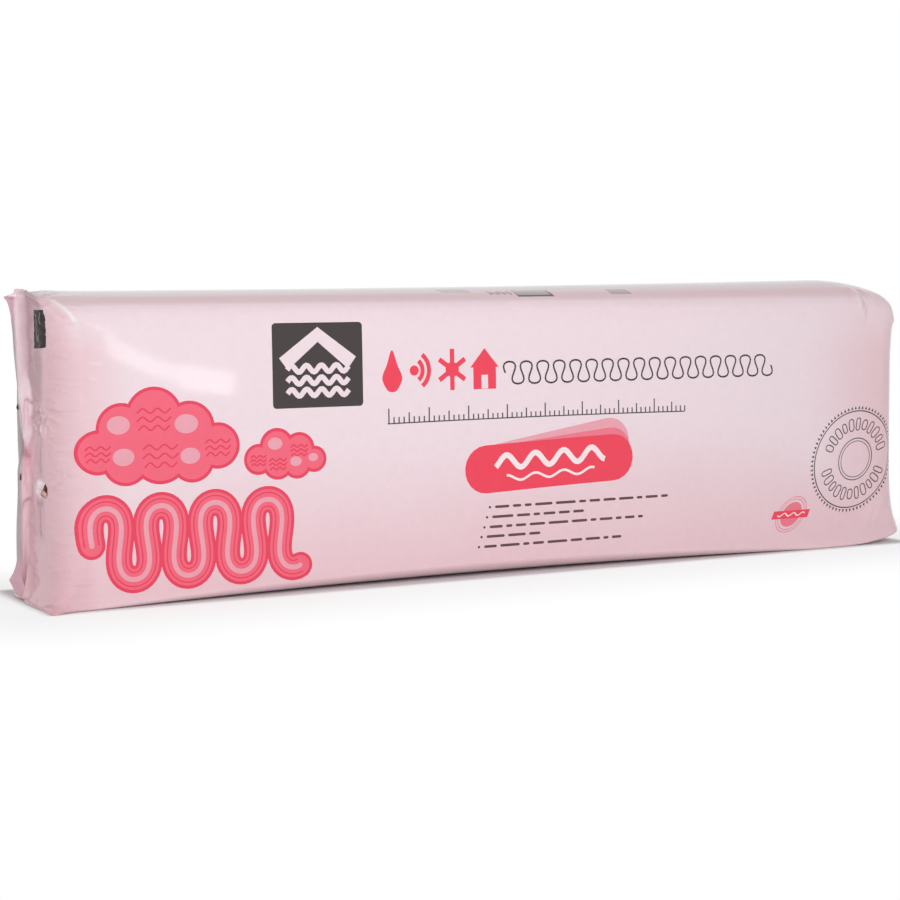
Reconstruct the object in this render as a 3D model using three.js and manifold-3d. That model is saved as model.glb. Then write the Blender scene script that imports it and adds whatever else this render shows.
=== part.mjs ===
// A compression-packed bag of glass fibre insulation batts, standing on its long narrow side.
// Millimetres. X runs along the pack, Y through its depth (printed face at -Y), Z up.
// The origin is on the floor under the middle of the pack.
import * as THREE from 'three';
import { mergeVertices } from 'three/addons/utils/BufferGeometryUtils.js';
import Module from 'manifold-3d';

// The batts
const BATT_LENGTH = 2352;         // as packed; the film squeezes about 10 mm out of a loose batt
const BATT_WIDTH = 387;
const BATT_COUNT = 9;
const BATT_THICKNESS = 73.6;      // as packed; an unpacked batt springs back to about 159
const BATT_GAP = 0.4;             // between neighbouring batts
const STACK_CLEARANCE = 0.4;      // between the stack and the film, all round
const END_SLACK = 4;              // more room for the gathered film at each end

// The film bag
const FILM_WALL = 1.2;
const SIDE_SWELL = 5.5;           // how far each long face bulges past the batts' edges
const LEFT_CROWN = 26;            // how far the top swells above its long edges, at each end
const RIGHT_CROWN = 44;
const FLARE_HEIGHT = 0.16;        // share of the height over which an end's foot flares out

// The two ends. `bulge` is how far the end face stands out to the seal, `flare` how far its foot
// stands out. At mid height the front and back upright edges reach `frontDepth` and `backDepth`
// into the pack's depth; the corners are the front edge's reach at the top and the foot.
const EDGE_RUN = 80;              // how far the upright edges reach along the pack
const LEFT_END = {
  bulge: 12, flare: 14, frontDepth: 70, backDepth: 120, topCorner: 45, footCorner: 8,
};
const RIGHT_END = {
  bulge: 3, flare: 6, frontDepth: 70, backDepth: 70, topCorner: 48, footCorner: 30,
};
const BACK_CORNER = 80;           // the back edges' reach at the top and the foot
const EDGE_TURN = 64;             // degrees; below 90 the upright edges end in a crease
const BULGE_TIP = 0.01;           // share of the end face's width that is left at the seal

// The long edges
const TOP_EDGE_DEPTH = 62;        // the long top edges: how far the rounding reaches in
const TOP_EDGE_DROP = 30;         // and how far it reaches down
const FOOT_EDGE = { depth: 136, rise: 38 };          // the long bottom edges where they roll in most
const FOOT_EDGE_AT_ENDS = { depth: 7, rise: 5 };     // and near the ends
const FOOT_ROLL_CENTRE = -120;
const FOOT_FLAT_AT_ENDS = 200;    // the stretch next to each end where the bottom edges stay tight

// How the top and the foot round off towards each end: length of the curve and its height
const LEFT_TOP = { run: 40, height: 5 };
const RIGHT_TOP = { run: 185, height: 50 };
const LEFT_FOOT = { run: 40, height: 1 };
const RIGHT_FOOT = { run: 200, height: 45 };

// The flat seal that closes each end, with a pointed ear at its top and bottom
const SEAL_THICKNESS = 3;
const SEAL_WIDTH = 17;
const SEAL_RISE = 12;             // how far the seal stands above the end's top
const TOP_EAR_DROP = 18;          // the top ear's tip below the seal's top
const TOP_EAR_REACH = 45;
const FOOT_EAR_REACH = 47;
const FOOT_EAR_SWEEP = 0.75;      // share of the foot ear's reach over which its lower side lies low
const TOP_EAR_SPREAD = 220;       // how far from each ear's tip the seal has narrowed
const FOOT_EAR_SPREAD = 330;
const SEAL_ROOT = 30;             // how far the seal runs into the bag's end before it is trimmed
const FOOT_EAR_HEIGHT = 50;       // the foot ear's tip above the seal's lower end
const SEAL_FOOT_LIFT = 8;         // the seal's lower end clears the floor

// The tear in the film at the left end's front upright edge
const TEAR_WIDTH = 24;
const TEAR_HEIGHT = 30;
const TEAR_Z = 264;
const TEAR_FROM_CREASE = 6;       // along the pack, from the end face's edge to the tear's middle
const TEAR_TURN = 25;             // degrees that the torn wall has turned from the end face

// Fineness of the faceted forms
const END_STEPS = 8;
const BULGE_STEPS = 2;
const LENGTH_STEPS = 10;
const CORNER_STEPS = 5;
const CROWN_STEPS = 4;
const FACE_STEPS = 8;
const SLAB_STEPS = 6;
const STATION_CROWDING = 0.8;     // 0 spaces the middle stations evenly, 1 crowds them to the ends
const CORNER_SHARPNESS = 4;       // power by which the upright edges keep to their middle shape

const HALF_LENGTH = BATT_LENGTH / 2 + END_SLACK + STACK_CLEARANCE + FILM_WALL;
const HALF_DEPTH = BATT_WIDTH / 2 + STACK_CLEARANCE + FILM_WALL;
const STACK_HEIGHT = BATT_COUNT * BATT_THICKNESS + (BATT_COUNT - 1) * BATT_GAP;
const EDGE_HEIGHT = STACK_HEIGHT + 2 * (STACK_CLEARANCE + FILM_WALL);
const MIDDLE_CROWN = LEFT_CROWN + (RIGHT_CROWN - LEFT_CROWN) / 4;

const wasm = await Module();
wasm.setup();

function solidOf(geometry) {
  const bare = geometry.clone();
  bare.deleteAttribute('normal');
  bare.deleteAttribute('uv');
  const merged = mergeVertices(bare, 1e-4);
  const vertProperties = new Float32Array(merged.attributes.position.array);
  const triVerts = new Uint32Array(merged.index.array);
  return new wasm.Manifold(new wasm.Mesh({ numProp: 3, vertProperties, triVerts }));
}

function geometryOf(solid) {
  const mesh = solid.getMesh();
  const geometry = new THREE.BufferGeometry();
  geometry.setAttribute('position', new THREE.BufferAttribute(mesh.vertProperties, 3));
  geometry.setIndex(new THREE.BufferAttribute(mesh.triVerts, 1));
  const faceted = geometry.toNonIndexed();
  faceted.computeVertexNormals();
  return faceted;
}

// Drop of a quarter ellipse that starts `run` before an end and is `height` deep at that end.
// Where it turns through less than 90 degrees, it is stretched to the same height.
function roundOff(distanceToEnd, run, height, turn = 90) {
  if (distanceToEnd >= run) return 0;
  const lastAngle = THREE.MathUtils.degToRad(turn);
  const share = Math.sin(lastAngle) * Math.min(1, (run - distanceToEnd) / run);
  return height * (1 - Math.sqrt(1 - share * share)) / (1 - Math.cos(lastAngle));
}

// How far an upright edge has pulled in at a distance from the end face's edge, at a share of the
// height. `face` is -1 on the front and 1 on the back.
function edgeNarrowing(end, distance, rise, face, inset) {
  const frontCorner = rise < 0.5 ? end.footCorner : end.topCorner;
  const corner = face < 0 ? frontCorner : BACK_CORNER;
  const toCorner = Math.pow(Math.abs(2 * rise - 1), CORNER_SHARPNESS);
  const run = THREE.MathUtils.lerp(EDGE_RUN, corner, toCorner) - inset;
  const middleDepth = face < 0 ? end.frontDepth : end.backDepth;
  const depth = THREE.MathUtils.lerp(middleDepth, corner, toCorner) - inset;
  return roundOff(distance, run, depth, EDGE_TURN);
}

// How far an end's foot flares out at a distance from the end face's edge and share of the height.
function footFlare(end, distance, rise) {
  const low = Math.max(0, 1 - rise / FLARE_HEIGHT);
  const near = Math.max(0, 1 - distance / EDGE_RUN);
  return end.flare * low * low * near;
}

// The measures of the bag's cross-section at x, for a form set in by `inset` all round, and by
// `endInset` at its ends.
function sectionAt(x, inset, endInset) {
  const toLeft = HALF_LENGTH - LEFT_END.bulge - endInset + x;
  const toRight = HALF_LENGTH - RIGHT_END.bulge - endInset - x;
  const along = x / HALF_LENGTH;
  const topDrop = roundOff(toLeft, LEFT_TOP.run, LEFT_TOP.height)
    + roundOff(toRight, RIGHT_TOP.run, RIGHT_TOP.height);
  const footLift = roundOff(toLeft, LEFT_FOOT.run, LEFT_FOOT.height)
    + roundOff(toRight, RIGHT_FOOT.run, RIGHT_FOOT.height);
  const fromRoll = (x - FOOT_ROLL_CENTRE) / (HALF_LENGTH - FOOT_FLAT_AT_ENDS);
  const roll = Math.max(0, 1 - fromRoll * fromRoll);
  return {
    end: x < 0 ? LEFT_END : RIGHT_END,
    toEnd: Math.min(toLeft, toRight),
    halfDepth: HALF_DEPTH - inset,
    swell: SIDE_SWELL * (1 - along * along),
    skinFoot: footLift,
    skinEdge: EDGE_HEIGHT - topDrop,
    foot: footLift + inset,
    edge: EDGE_HEIGHT - topDrop - inset,
    crown: THREE.MathUtils.lerp(LEFT_CROWN, RIGHT_CROWN, Math.pow((1 + along) / 2, 2)),
    footDepth: THREE.MathUtils.lerp(FOOT_EDGE_AT_ENDS.depth, FOOT_EDGE.depth, roll),
    footRise: THREE.MathUtils.lerp(FOOT_EDGE_AT_ENDS.rise, FOOT_EDGE.rise, roll),
  };
}

// Half of the cross-section on one face's side, from the middle of the foot to the top's middle,
// as [x, y, z] points.
function halfLoop(x, face, inset, endInset) {
  const s = sectionAt(x, inset, endInset);
  const points = [];
  const push = (y, z) => {
    const rise = (z - s.skinFoot) / (s.skinEdge - s.skinFoot);
    const across = y / s.halfDepth;
    const bulge = s.swell * 4 * rise * (1 - rise) * across;
    const pulledIn = edgeNarrowing(s.end, s.toEnd, rise, face, inset) * across;
    const crown = s.crown * rise * rise * rise * (1 - across * across);
    const flare = footFlare(s.end, s.toEnd, rise) * Math.sign(x);
    points.push([x + flare, face * (y + bulge - pulledIn), z + crown]);
  };
  push(0, s.foot);
  push((s.halfDepth - s.footDepth) / 2, s.foot);
  for (let i = 0; i <= CORNER_STEPS; i++) {
    const a = (i / CORNER_STEPS) * Math.PI / 2;
    const y = s.halfDepth - s.footDepth * (1 - Math.sin(a));
    push(y, s.foot + s.footRise * (1 - Math.cos(a)));
  }
  const faceLow = s.foot + s.footRise;
  const faceHigh = s.edge - TOP_EDGE_DROP;
  for (let i = 1; i < FACE_STEPS; i++) {
    const share = (1 - Math.cos((i / FACE_STEPS) * Math.PI)) / 2;
    push(s.halfDepth, THREE.MathUtils.lerp(faceLow, faceHigh, share));
  }
  for (let i = 0; i <= CORNER_STEPS; i++) {
    const a = (i / CORNER_STEPS) * Math.PI / 2;
    const y = s.halfDepth - TOP_EDGE_DEPTH * (1 - Math.cos(a));
    push(y, s.edge - TOP_EDGE_DROP * (1 - Math.sin(a)));
  }
  for (let i = 1; i <= CROWN_STEPS; i++) {
    push((s.halfDepth - TOP_EDGE_DEPTH) * (1 - i / CROWN_STEPS), s.edge);
  }
  return points;
}

// The whole cross-section at x as a ring of points.
function ringAt(x, inset, endInset) {
  const back = halfLoop(x, 1, inset, endInset);
  const front = halfLoop(x, -1, inset, endInset).slice(1, -1).reverse();
  return back.concat(front);
}

// Stations along the pack: close together round the end edges, wider apart between them. Those
// between the end edges are the same for every inset, so that the forms' facets lie parallel.
function stations(endInset) {
  const endStations = (end) => {
    const start = HALF_LENGTH - end.bulge - endInset - EDGE_RUN;
    const xs = [];
    for (let i = 0; i <= END_STEPS; i++) {
      xs.push(start + EDGE_RUN * Math.sin((i / END_STEPS) * Math.PI / 2));
    }
    return xs;
  };
  const deepest = Math.max(LEFT_END.bulge, RIGHT_END.bulge);
  const deepestInset = END_SLACK + STACK_CLEARANCE + FILM_WALL;
  const middleReach = HALF_LENGTH - deepest - EDGE_RUN - 2 * deepestInset;
  const spread = STATION_CROWDING * Math.PI / 2;
  const middle = [];
  for (let i = 0; i <= LENGTH_STEPS; i++) {
    const even = -1 + 2 * i / LENGTH_STEPS;
    middle.push(middleReach * Math.sin(even * spread) / Math.sin(spread));
  }
  return [...endStations(LEFT_END).map((x) => -x).reverse(), ...middle, ...endStations(RIGHT_END)];
}

// Rings that carry a bag's end from its last cross-section out to the upright line of the seal.
function bulgeRings(lastRing, end, side) {
  const rings = [];
  for (let i = 1; i <= BULGE_STEPS; i++) {
    const left = Math.max(1 - i / BULGE_STEPS, BULGE_TIP);
    const out = end.bulge * (1 - left * left);
    rings.push(lastRing.map(([x, y, z]) => [x + side * out, y * left, z]));
  }
  return rings;
}

// Closed solid through rings of points, each ring the same even length. Both ends are closed by a
// strip that joins each ring's two mirrored halves level by level.
function loftRings(rings) {
  const count = rings[0].length;
  const positions = [];
  const index = [];
  rings.forEach((ring) => ring.forEach((p) => positions.push(...p)));
  for (let r = 0; r < rings.length - 1; r++) {
    for (let i = 0; i < count; i++) {
      const a = r * count + i;
      const b = r * count + (i + 1) % count;
      const c = a + count;
      const d = b + count;
      index.push(a, b, d, a, d, c);
    }
  }
  const cap = (r, forward) => {
    const triangle = (a, b, c) => {
      const corners = forward ? [a, b, c] : [a, c, b];
      index.push(...corners.map((k) => r * count + k % count));
    };
    for (let i = 0; i < count / 2; i++) {
      if (i > 0) triangle(i, i + 1, count - i);
      if (i + 1 < count / 2) triangle(i + 1, count - i - 1, count - i);
    }
  };
  cap(0, false);
  cap(rings.length - 1, true);
  const geometry = new THREE.BufferGeometry();
  geometry.setAttribute('position', new THREE.Float32BufferAttribute(positions, 3));
  geometry.setIndex(index);
  return geometry;
}

// The whole pillow form of the bag, set in by `inset` from its outer skin, `endInset` at its ends.
function bagForm(inset, endInset = inset) {
  const rings = stations(endInset).map((x) => ringAt(x, inset, endInset));
  const leftBulge = bulgeRings(rings[0], LEFT_END, -1).reverse();
  const rightBulge = bulgeRings(rings[rings.length - 1], RIGHT_END, 1);
  return solidOf(loftRings([...leftBulge, ...rings, ...rightBulge]));
}

// Flat seal with its two ears, standing upright in the pack's mid plane at one end.
function endSeal(side) {
  const end = HALF_LENGTH;
  const endTop = side < 0 ? LEFT_CROWN - LEFT_TOP.height : RIGHT_CROWN - RIGHT_TOP.height;
  const top = EDGE_HEIGHT + endTop + SEAL_RISE;
  const foot = SEAL_FOOT_LIFT;
  const earZ = foot + FOOT_EAR_HEIGHT;
  const topEarZ = top - TOP_EAR_DROP;
  const outline = new THREE.Shape();
  outline.moveTo(end - SEAL_ROOT, foot);
  outline.lineTo(end, foot);
  outline.quadraticCurveTo(end + FOOT_EAR_SWEEP * FOOT_EAR_REACH, foot, end + FOOT_EAR_REACH, earZ);
  outline.quadraticCurveTo(end + SEAL_WIDTH, earZ, end + SEAL_WIDTH, earZ + FOOT_EAR_SPREAD);
  outline.lineTo(end + SEAL_WIDTH, topEarZ - TOP_EAR_SPREAD);
  outline.quadraticCurveTo(end + SEAL_WIDTH, topEarZ - TOP_EAR_REACH, end + TOP_EAR_REACH, topEarZ);
  outline.lineTo(end + SEAL_WIDTH, top);
  outline.lineTo(end - SEAL_ROOT, top - SEAL_RISE);
  outline.closePath();
  const plate = new THREE.ExtrudeGeometry(outline, {
    depth: SEAL_THICKNESS,
    bevelEnabled: false,
    curveSegments: 8,
  });
  plate.translate(0, 0, -SEAL_THICKNESS / 2);
  plate.rotateX(Math.PI / 2);
  if (side < 0) plate.rotateZ(Math.PI);
  return solidOf(plate);
}

// A ragged three-cornered hole through the film, cut square to the upright edge.
function tearCutter() {
  const outline = new THREE.Shape();
  outline.moveTo(-TEAR_WIDTH / 2, -TEAR_HEIGHT / 2);
  outline.quadraticCurveTo(-TEAR_WIDTH * 0.1, -TEAR_HEIGHT * 0.35, TEAR_WIDTH / 2, -TEAR_HEIGHT * 0.3);
  outline.quadraticCurveTo(TEAR_WIDTH * 0.35, TEAR_HEIGHT * 0.2, TEAR_WIDTH * 0.2, TEAR_HEIGHT / 2);
  outline.quadraticCurveTo(0, TEAR_HEIGHT * 0.1, -TEAR_WIDTH / 2, -TEAR_HEIGHT / 2);
  const plug = new THREE.ExtrudeGeometry(outline, {
    depth: EDGE_RUN,
    bevelEnabled: false,
    curveSegments: 3,
  });
  plug.translate(0, 0, -EDGE_RUN / 2);
  plug.rotateX(Math.PI / 2);
  plug.rotateZ(-THREE.MathUtils.degToRad(90 - TEAR_TURN));
  const pulledIn = edgeNarrowing(LEFT_END, TEAR_FROM_CREASE, TEAR_Z / EDGE_HEIGHT, -1, 0);
  const fromEnd = LEFT_END.bulge + TEAR_FROM_CREASE;
  plug.translate(fromEnd - HALF_LENGTH, pulledIn - HALF_DEPTH, TEAR_Z);
  return solidOf(plug);
}

function filmBag() {
  const skin = bagForm(0).add(endSeal(-1)).add(endSeal(1));
  return skin.subtract(bagForm(FILM_WALL)).subtract(tearCutter());
}

// Height of the boundary under batt number `level`, which swells with the crown above it.
function layerHeight(level, y) {
  const share = level / BATT_COUNT;
  const across = Math.min(1, Math.abs(y) / HALF_DEPTH);
  const crown = MIDDLE_CROWN * share * share * share * (1 - across * across);
  return FILM_WALL + STACK_CLEARANCE + share * (STACK_HEIGHT + BATT_GAP) - BATT_GAP / 2 + crown;
}

// A wide slab between two layer boundaries, wider and longer than the stack.
function layerSlab(level) {
  const reachY = HALF_DEPTH + 2 * SIDE_SWELL;
  const lowest = level === 0;
  const highest = level === BATT_COUNT - 1;
  const under = [];
  const over = [];
  for (let i = 0; i <= SLAB_STEPS; i++) {
    const y = -reachY + 2 * reachY * i / SLAB_STEPS;
    const low = lowest ? -EDGE_HEIGHT : layerHeight(level, y) + BATT_GAP / 2;
    const high = highest ? 2 * EDGE_HEIGHT : layerHeight(level + 1, y) - BATT_GAP / 2;
    under.push([y, low]);
    over.push([y, high]);
  }
  const loop = under.concat(over.reverse());
  const outline = new THREE.Shape(loop.map(([y, z]) => new THREE.Vector2(y, z)));
  const length = 2 * (HALF_LENGTH + EDGE_RUN);
  const slab = new THREE.ExtrudeGeometry(outline, { depth: length, bevelEnabled: false });
  slab.translate(0, 0, -length / 2);
  slab.rotateX(Math.PI / 2);
  slab.rotateZ(Math.PI / 2);
  return solidOf(slab);
}

const pack = new THREE.Group();

const film = new THREE.MeshStandardMaterial({ color: 0xe6cfd6, roughness: 0.24, metalness: 0 });
const glassWool = new THREE.MeshStandardMaterial({ color: 0xe29aa6, roughness: 1, metalness: 0 });

function place(name, solid, material) {
  const mesh = new THREE.Mesh(geometryOf(solid), material);
  mesh.name = name;
  pack.add(mesh);
}

place('film_bag', filmBag(), film);

const stackInset = FILM_WALL + STACK_CLEARANCE;
const stack = bagForm(stackInset, stackInset + END_SLACK);
for (let level = 0; level < BATT_COUNT; level++) {
  place(`batt_${level + 1}`, stack.intersect(layerSlab(level)), glassWool);
}

export default pack;
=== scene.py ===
"""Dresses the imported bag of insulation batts: printed film, end seals, wool, floor, lights and camera."""
import math
from collections import namedtuple

import bmesh
import bpy
import numpy as np
from bpy.props import FloatProperty, FloatVectorProperty, PointerProperty
from bpy.types import Operator, Panel, PropertyGroup
from mathutils import Matrix, Vector
from mathutils.geometry import delaunay_2d_cdt


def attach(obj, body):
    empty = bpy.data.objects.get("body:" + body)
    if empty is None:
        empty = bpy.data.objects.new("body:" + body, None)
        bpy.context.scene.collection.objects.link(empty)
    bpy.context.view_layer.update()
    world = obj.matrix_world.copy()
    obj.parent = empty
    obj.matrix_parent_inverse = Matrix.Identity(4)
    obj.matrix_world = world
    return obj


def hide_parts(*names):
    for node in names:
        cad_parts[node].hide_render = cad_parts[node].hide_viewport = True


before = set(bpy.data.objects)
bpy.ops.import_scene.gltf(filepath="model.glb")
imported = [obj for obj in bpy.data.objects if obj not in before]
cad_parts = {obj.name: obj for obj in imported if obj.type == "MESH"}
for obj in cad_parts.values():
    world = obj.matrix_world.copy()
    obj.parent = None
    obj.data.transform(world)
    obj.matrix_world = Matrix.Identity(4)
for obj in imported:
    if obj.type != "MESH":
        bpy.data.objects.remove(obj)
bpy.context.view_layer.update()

bl_info = {
    "name": "Bagged insulation pack",
    "version": (1, 0, 0),
    "blender": (4, 5, 0),
    "location": "3D View > Sidebar > Pack",
    "description": "Builds the printed film bag, its seals and tear, the wool and a plain studio",
    "category": "Object",
}

FILM_NODE = "film_bag"
BATT_NODES = [name for name in sorted(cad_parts) if name.startswith("batt_")]

# The bag's form, in metres, close to its CAD solid's
HALF_LENGTH = 1.1816                 # to the seal line
HALF_DEPTH = 0.1951
EDGE_HEIGHT = 0.6688
SIDE_SWELL = 0.0055
LEFT_CROWN, RIGHT_CROWN = 0.026, 0.044
EDGE_RUN = 0.080                     # how far the upright edges reach along the pack
EDGE_TURN = math.radians(64)         # how far they turn before the crease at the end face
EDGE_ARC, FACE_ARC = 0.115, 0.125    # lengths of film over an upright edge, and over half an end face
BACK_CORNER = 0.080
CORNER_POWER = 4                     # by which the upright edges keep to their middle shape
FLARE_HEIGHT = 0.16
LEFT = {"bulge": 0.012, "flare": 0.014, "depth": 0.070, "back_depth": 0.120, "top_corner": 0.045,
        "foot_corner": 0.008, "top": (0.040, 0.005), "foot": (0.040, 0.001), "foot_lift": 0.001,
        "seal_top": 0.7018, "gathers": 0.0014, "crease": 0.0004}
RIGHT = {"bulge": 0.003, "flare": 0.006, "depth": 0.070, "back_depth": 0.070, "top_corner": 0.048,
         "foot_corner": 0.030, "top": (0.185, 0.050), "foot": (0.200, 0.045), "foot_lift": 0.045,
         "seal_top": 0.6748, "gathers": 0.0005, "crease": 0.0016}
TOP_EDGE = (0.062, 0.030)            # how far the long top edges round in, and down
FOOT_EDGE = (0.136, 0.038)           # the long bottom edges where they roll in most
FOOT_EDGE_AT_ENDS = (0.007, 0.005)   # and near the ends
FOOT_ROLL_CENTRE = -0.120
FOOT_FLAT_AT_ENDS = 0.200
SEAL_HALF = 0.0007                   # half of the end seals' thickness
SEAL_TAPER = 6                       # power by which a seal keeps its thickness out to its rim
SEAL_FOOT = 0.008
SEAL_WIDTH = 0.017
SEAL_RISE = 0.012                    # how far the seals stand above the ends' tops
FOOT_EAR_HEIGHT, FOOT_EAR_REACH, FOOT_EAR_SPREAD, FOOT_EAR_SWEEP = 0.058, 0.047, 0.330, 0.75
TOP_EAR_DROP, TOP_EAR_REACH, TOP_EAR_SPREAD, TOP_EAR_POWER = 0.018, 0.045, 0.220, 3.2
# The left seal's loose rim: heights and how far it stands out there
LEFT_RIM = np.array([
    (0.008, 0.018), (0.012, 0.0225), (0.028, 0.0333), (0.040, 0.0398), (0.054, 0.0470), (0.071, 0.0363),
    (0.087, 0.0304), (0.098, 0.0283), (0.143, 0.0271), (0.187, 0.0251), (0.221, 0.0224), (0.256, 0.0204),
    (0.296, 0.0202), (0.317, 0.0169), (0.388, 0.0178), (0.456, 0.0176), (0.489, 0.0175), (0.522, 0.0200),
    (0.556, 0.0222), (0.611, 0.0247), (0.644, 0.0273), (0.666, 0.0323), (0.675, 0.0356), (0.684, 0.0438),
    (0.6925, 0.0200), (0.702, 0.0170)])
SEAL_WAVES = [(0.0040, 0.085, 3.3, 21), (0.0015, 0.030, 7.7, 22)]   # height, length, row and seed of each


def quarter_ellipse(a, b):
    """Length of a quarter of an ellipse with these half axes."""
    return math.pi / 2 * math.sqrt((a * a + b * b) / 2)


# Lengths along the film: round the section from the middle of the foot (s), and along the pack (t)
S_FOOT = HALF_DEPTH - FOOT_EDGE[0]
S_FACE_LOW = S_FOOT + quarter_ellipse(*FOOT_EDGE)
S_FACE_HIGH = S_FACE_LOW + EDGE_HEIGHT - TOP_EDGE[1] - FOOT_EDGE[1]
S_CROWN = S_FACE_HIGH + quarter_ellipse(*TOP_EDGE)
S_TOP = S_CROWN + HALF_DEPTH - TOP_EDGE[0]
RIM_LENGTH = max(FOOT_EAR_REACH, TOP_EAR_REACH)


# Numbers, noise and curves

def share(value, low, high):
    """How far a value has gone from low to high, from 0 to 1."""
    return np.clip((value - low) / (high - low), 0, 1)


def smooth(value, low, high):
    """Rises smoothly from 0 at low to 1 at high."""
    part = share(value, low, high)
    return part * part * (3 - 2 * part)


def hump(value, rise, fall):
    """Rises smoothly from 0 to 1 over one span and falls back to 0 over a later one."""
    return smooth(value, *rise) * (1 - smooth(value, *fall))


def bell(away, width, power=2):
    """1 at no distance, falling off over about a width."""
    return np.exp(-(np.abs(away) / width) ** power)


def lerp(low, high, part):
    """The value that is this part of the way from low to high."""
    return low + (high - low) * part


def unit(vectors):
    """The same directions with a length of 1."""
    return vectors / (np.linalg.norm(vectors, axis=-1, keepdims=True) + 1e-12)


def lattice(i, j, seed):
    """Repeatable random numbers from 0 to 1 for whole-number grid points."""
    n = (i * 374761393 + j * 668265263 + seed * 974634777) & 0xFFFFFFFF
    n = ((n ^ (n >> 13)) * 1274126177) & 0xFFFFFFFF
    return ((n ^ (n >> 16)) & 0xFFFF) / 65535.0


def noise(u, v, seed):
    """Smooth noise from -1 to 1."""
    i, j = np.floor(u).astype(np.int64), np.floor(v).astype(np.int64)
    fu, fv = (f * f * f * (f * (f * 6 - 15) + 10) for f in (u - i, v - j))
    low = lattice(i, j, seed) * (1 - fu) + lattice(i + 1, j, seed) * fu
    high = lattice(i, j + 1, seed) * (1 - fu) + lattice(i + 1, j + 1, seed) * fu
    return 2 * (low * (1 - fv) + high * fv) - 1


def rough(t, s, layers):
    """Sum of noise in layers of (height, length along the pack, length round the section, seed)."""
    return sum(height * noise(t / along, s / about, seed) for height, along, about, seed in layers)


def ridges(u, v, seed):
    """Noise folded into sharp crests, from 0 to 1."""
    return 1 - np.abs(noise(u, v, seed))


def side_of(x):
    """-1 on the pack's left half and 1 on its right."""
    return np.where(x < 0, -1.0, 1.0)


def pick(side, key):
    """An end's measure for each point, by the side of the pack that it lies on."""
    return np.where(side < 0, LEFT[key], RIGHT[key])


def from_foot(s):
    """Length round the section to the middle of the foot, the shorter way."""
    return np.minimum(s, 2 * S_TOP - s)


def on_left_front(t, s):
    """Whether places are on the left half of the pack, in front of the top's middle."""
    return (t < 0) & (s < S_TOP)


def round_off(distance, run, height, turn=math.pi / 2):
    """Drop of a quarter ellipse, or of its first turn, that starts `run` before an end."""
    part = math.sin(turn) * np.clip((run - distance) / run, 0, 1)
    return height * (1 - np.sqrt(1 - part * part)) / (1 - math.cos(turn))


# The smooth bag

def stops(side):
    """Where, along the film, an end's upright edge starts, its face starts, and its seal starts and ends."""
    start = HALF_LENGTH - pick(side, "bulge") - EDGE_RUN
    face = start + EDGE_ARC
    seal = face + FACE_ARC
    return start, face, seal, seal + RIM_LENGTH


def narrowing(side, distance, rise, face):
    """How far an upright edge has pulled in, at a distance from the end and a share of the height."""
    corner = np.where(rise < 0.5, pick(side, "foot_corner"), pick(side, "top_corner"))
    corner = np.where(face < 0, corner, BACK_CORNER)
    depth = np.where(face < 0, pick(side, "depth"), pick(side, "back_depth"))
    to_corner = np.abs(2 * rise - 1) ** CORNER_POWER
    return round_off(distance, lerp(EDGE_RUN, corner, to_corner), lerp(depth, corner, to_corner), EDGE_TURN)


def heights(x):
    """Height of the foot at x, the depth and rise of the rounding over it, and the long top edge's height."""
    to_left = HALF_LENGTH - LEFT["bulge"] + x
    to_right = HALF_LENGTH - RIGHT["bulge"] - x
    foot = round_off(to_left, *LEFT["foot"]) + round_off(to_right, *RIGHT["foot"])
    edge = EDGE_HEIGHT - round_off(to_left, *LEFT["top"]) - round_off(to_right, *RIGHT["top"])
    roll = np.maximum(0, 1 - ((x - FOOT_ROLL_CENTRE) / (HALF_LENGTH - FOOT_FLAT_AT_ENDS)) ** 2)
    foot_depth, foot_rise = (lerp(at_ends, most, roll) for at_ends, most in zip(FOOT_EDGE_AT_ENDS, FOOT_EDGE))
    return foot, foot_depth, foot_rise, edge


def section(x, s):
    """Point of the bag's section at x, s metres along the film from the foot's middle."""
    side, face = side_of(x), np.where(s > S_TOP, 1.0, -1.0)
    s = from_foot(s)
    distance = np.maximum(HALF_LENGTH - pick(side, "bulge") - np.abs(x), 0)
    along = x / HALF_LENGTH
    foot, foot_depth, foot_rise, edge = heights(x)

    foot_turn = share(s, S_FOOT, S_FACE_LOW) * math.pi / 2
    up_face = share(s, S_FACE_LOW, S_FACE_HIGH)
    top_turn = share(s, S_FACE_HIGH, S_CROWN) * math.pi / 2

    y = share(s, 0, S_FOOT) * (HALF_DEPTH - foot_depth) + foot_depth * np.sin(foot_turn)
    y = y - TOP_EDGE[0] * (1 - np.cos(top_turn)) - share(s, S_CROWN, S_TOP) * (HALF_DEPTH - TOP_EDGE[0])
    z = foot + foot_rise * (1 - np.cos(foot_turn)) + up_face * (edge - TOP_EDGE[1] - foot - foot_rise)
    z = z + TOP_EDGE[1] * np.sin(top_turn)

    rise = (z - foot) / (edge - foot)
    across = y / HALF_DEPTH
    swell = SIDE_SWELL * (1 - along * along) * 4 * rise * (1 - rise)
    y = y + (swell - narrowing(side, distance, rise, face)) * across
    crown = lerp(LEFT_CROWN, RIGHT_CROWN, ((1 + along) / 2) ** 2)
    low = np.maximum(0, 1 - rise / FLARE_HEIGHT)
    flare = pick(side, "flare") * low * low * np.maximum(0, 1 - distance / EDGE_RUN)
    return np.stack([x + side * flare, face * y, z + crown * rise ** 3 * (1 - across * across)], axis=-1)


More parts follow.
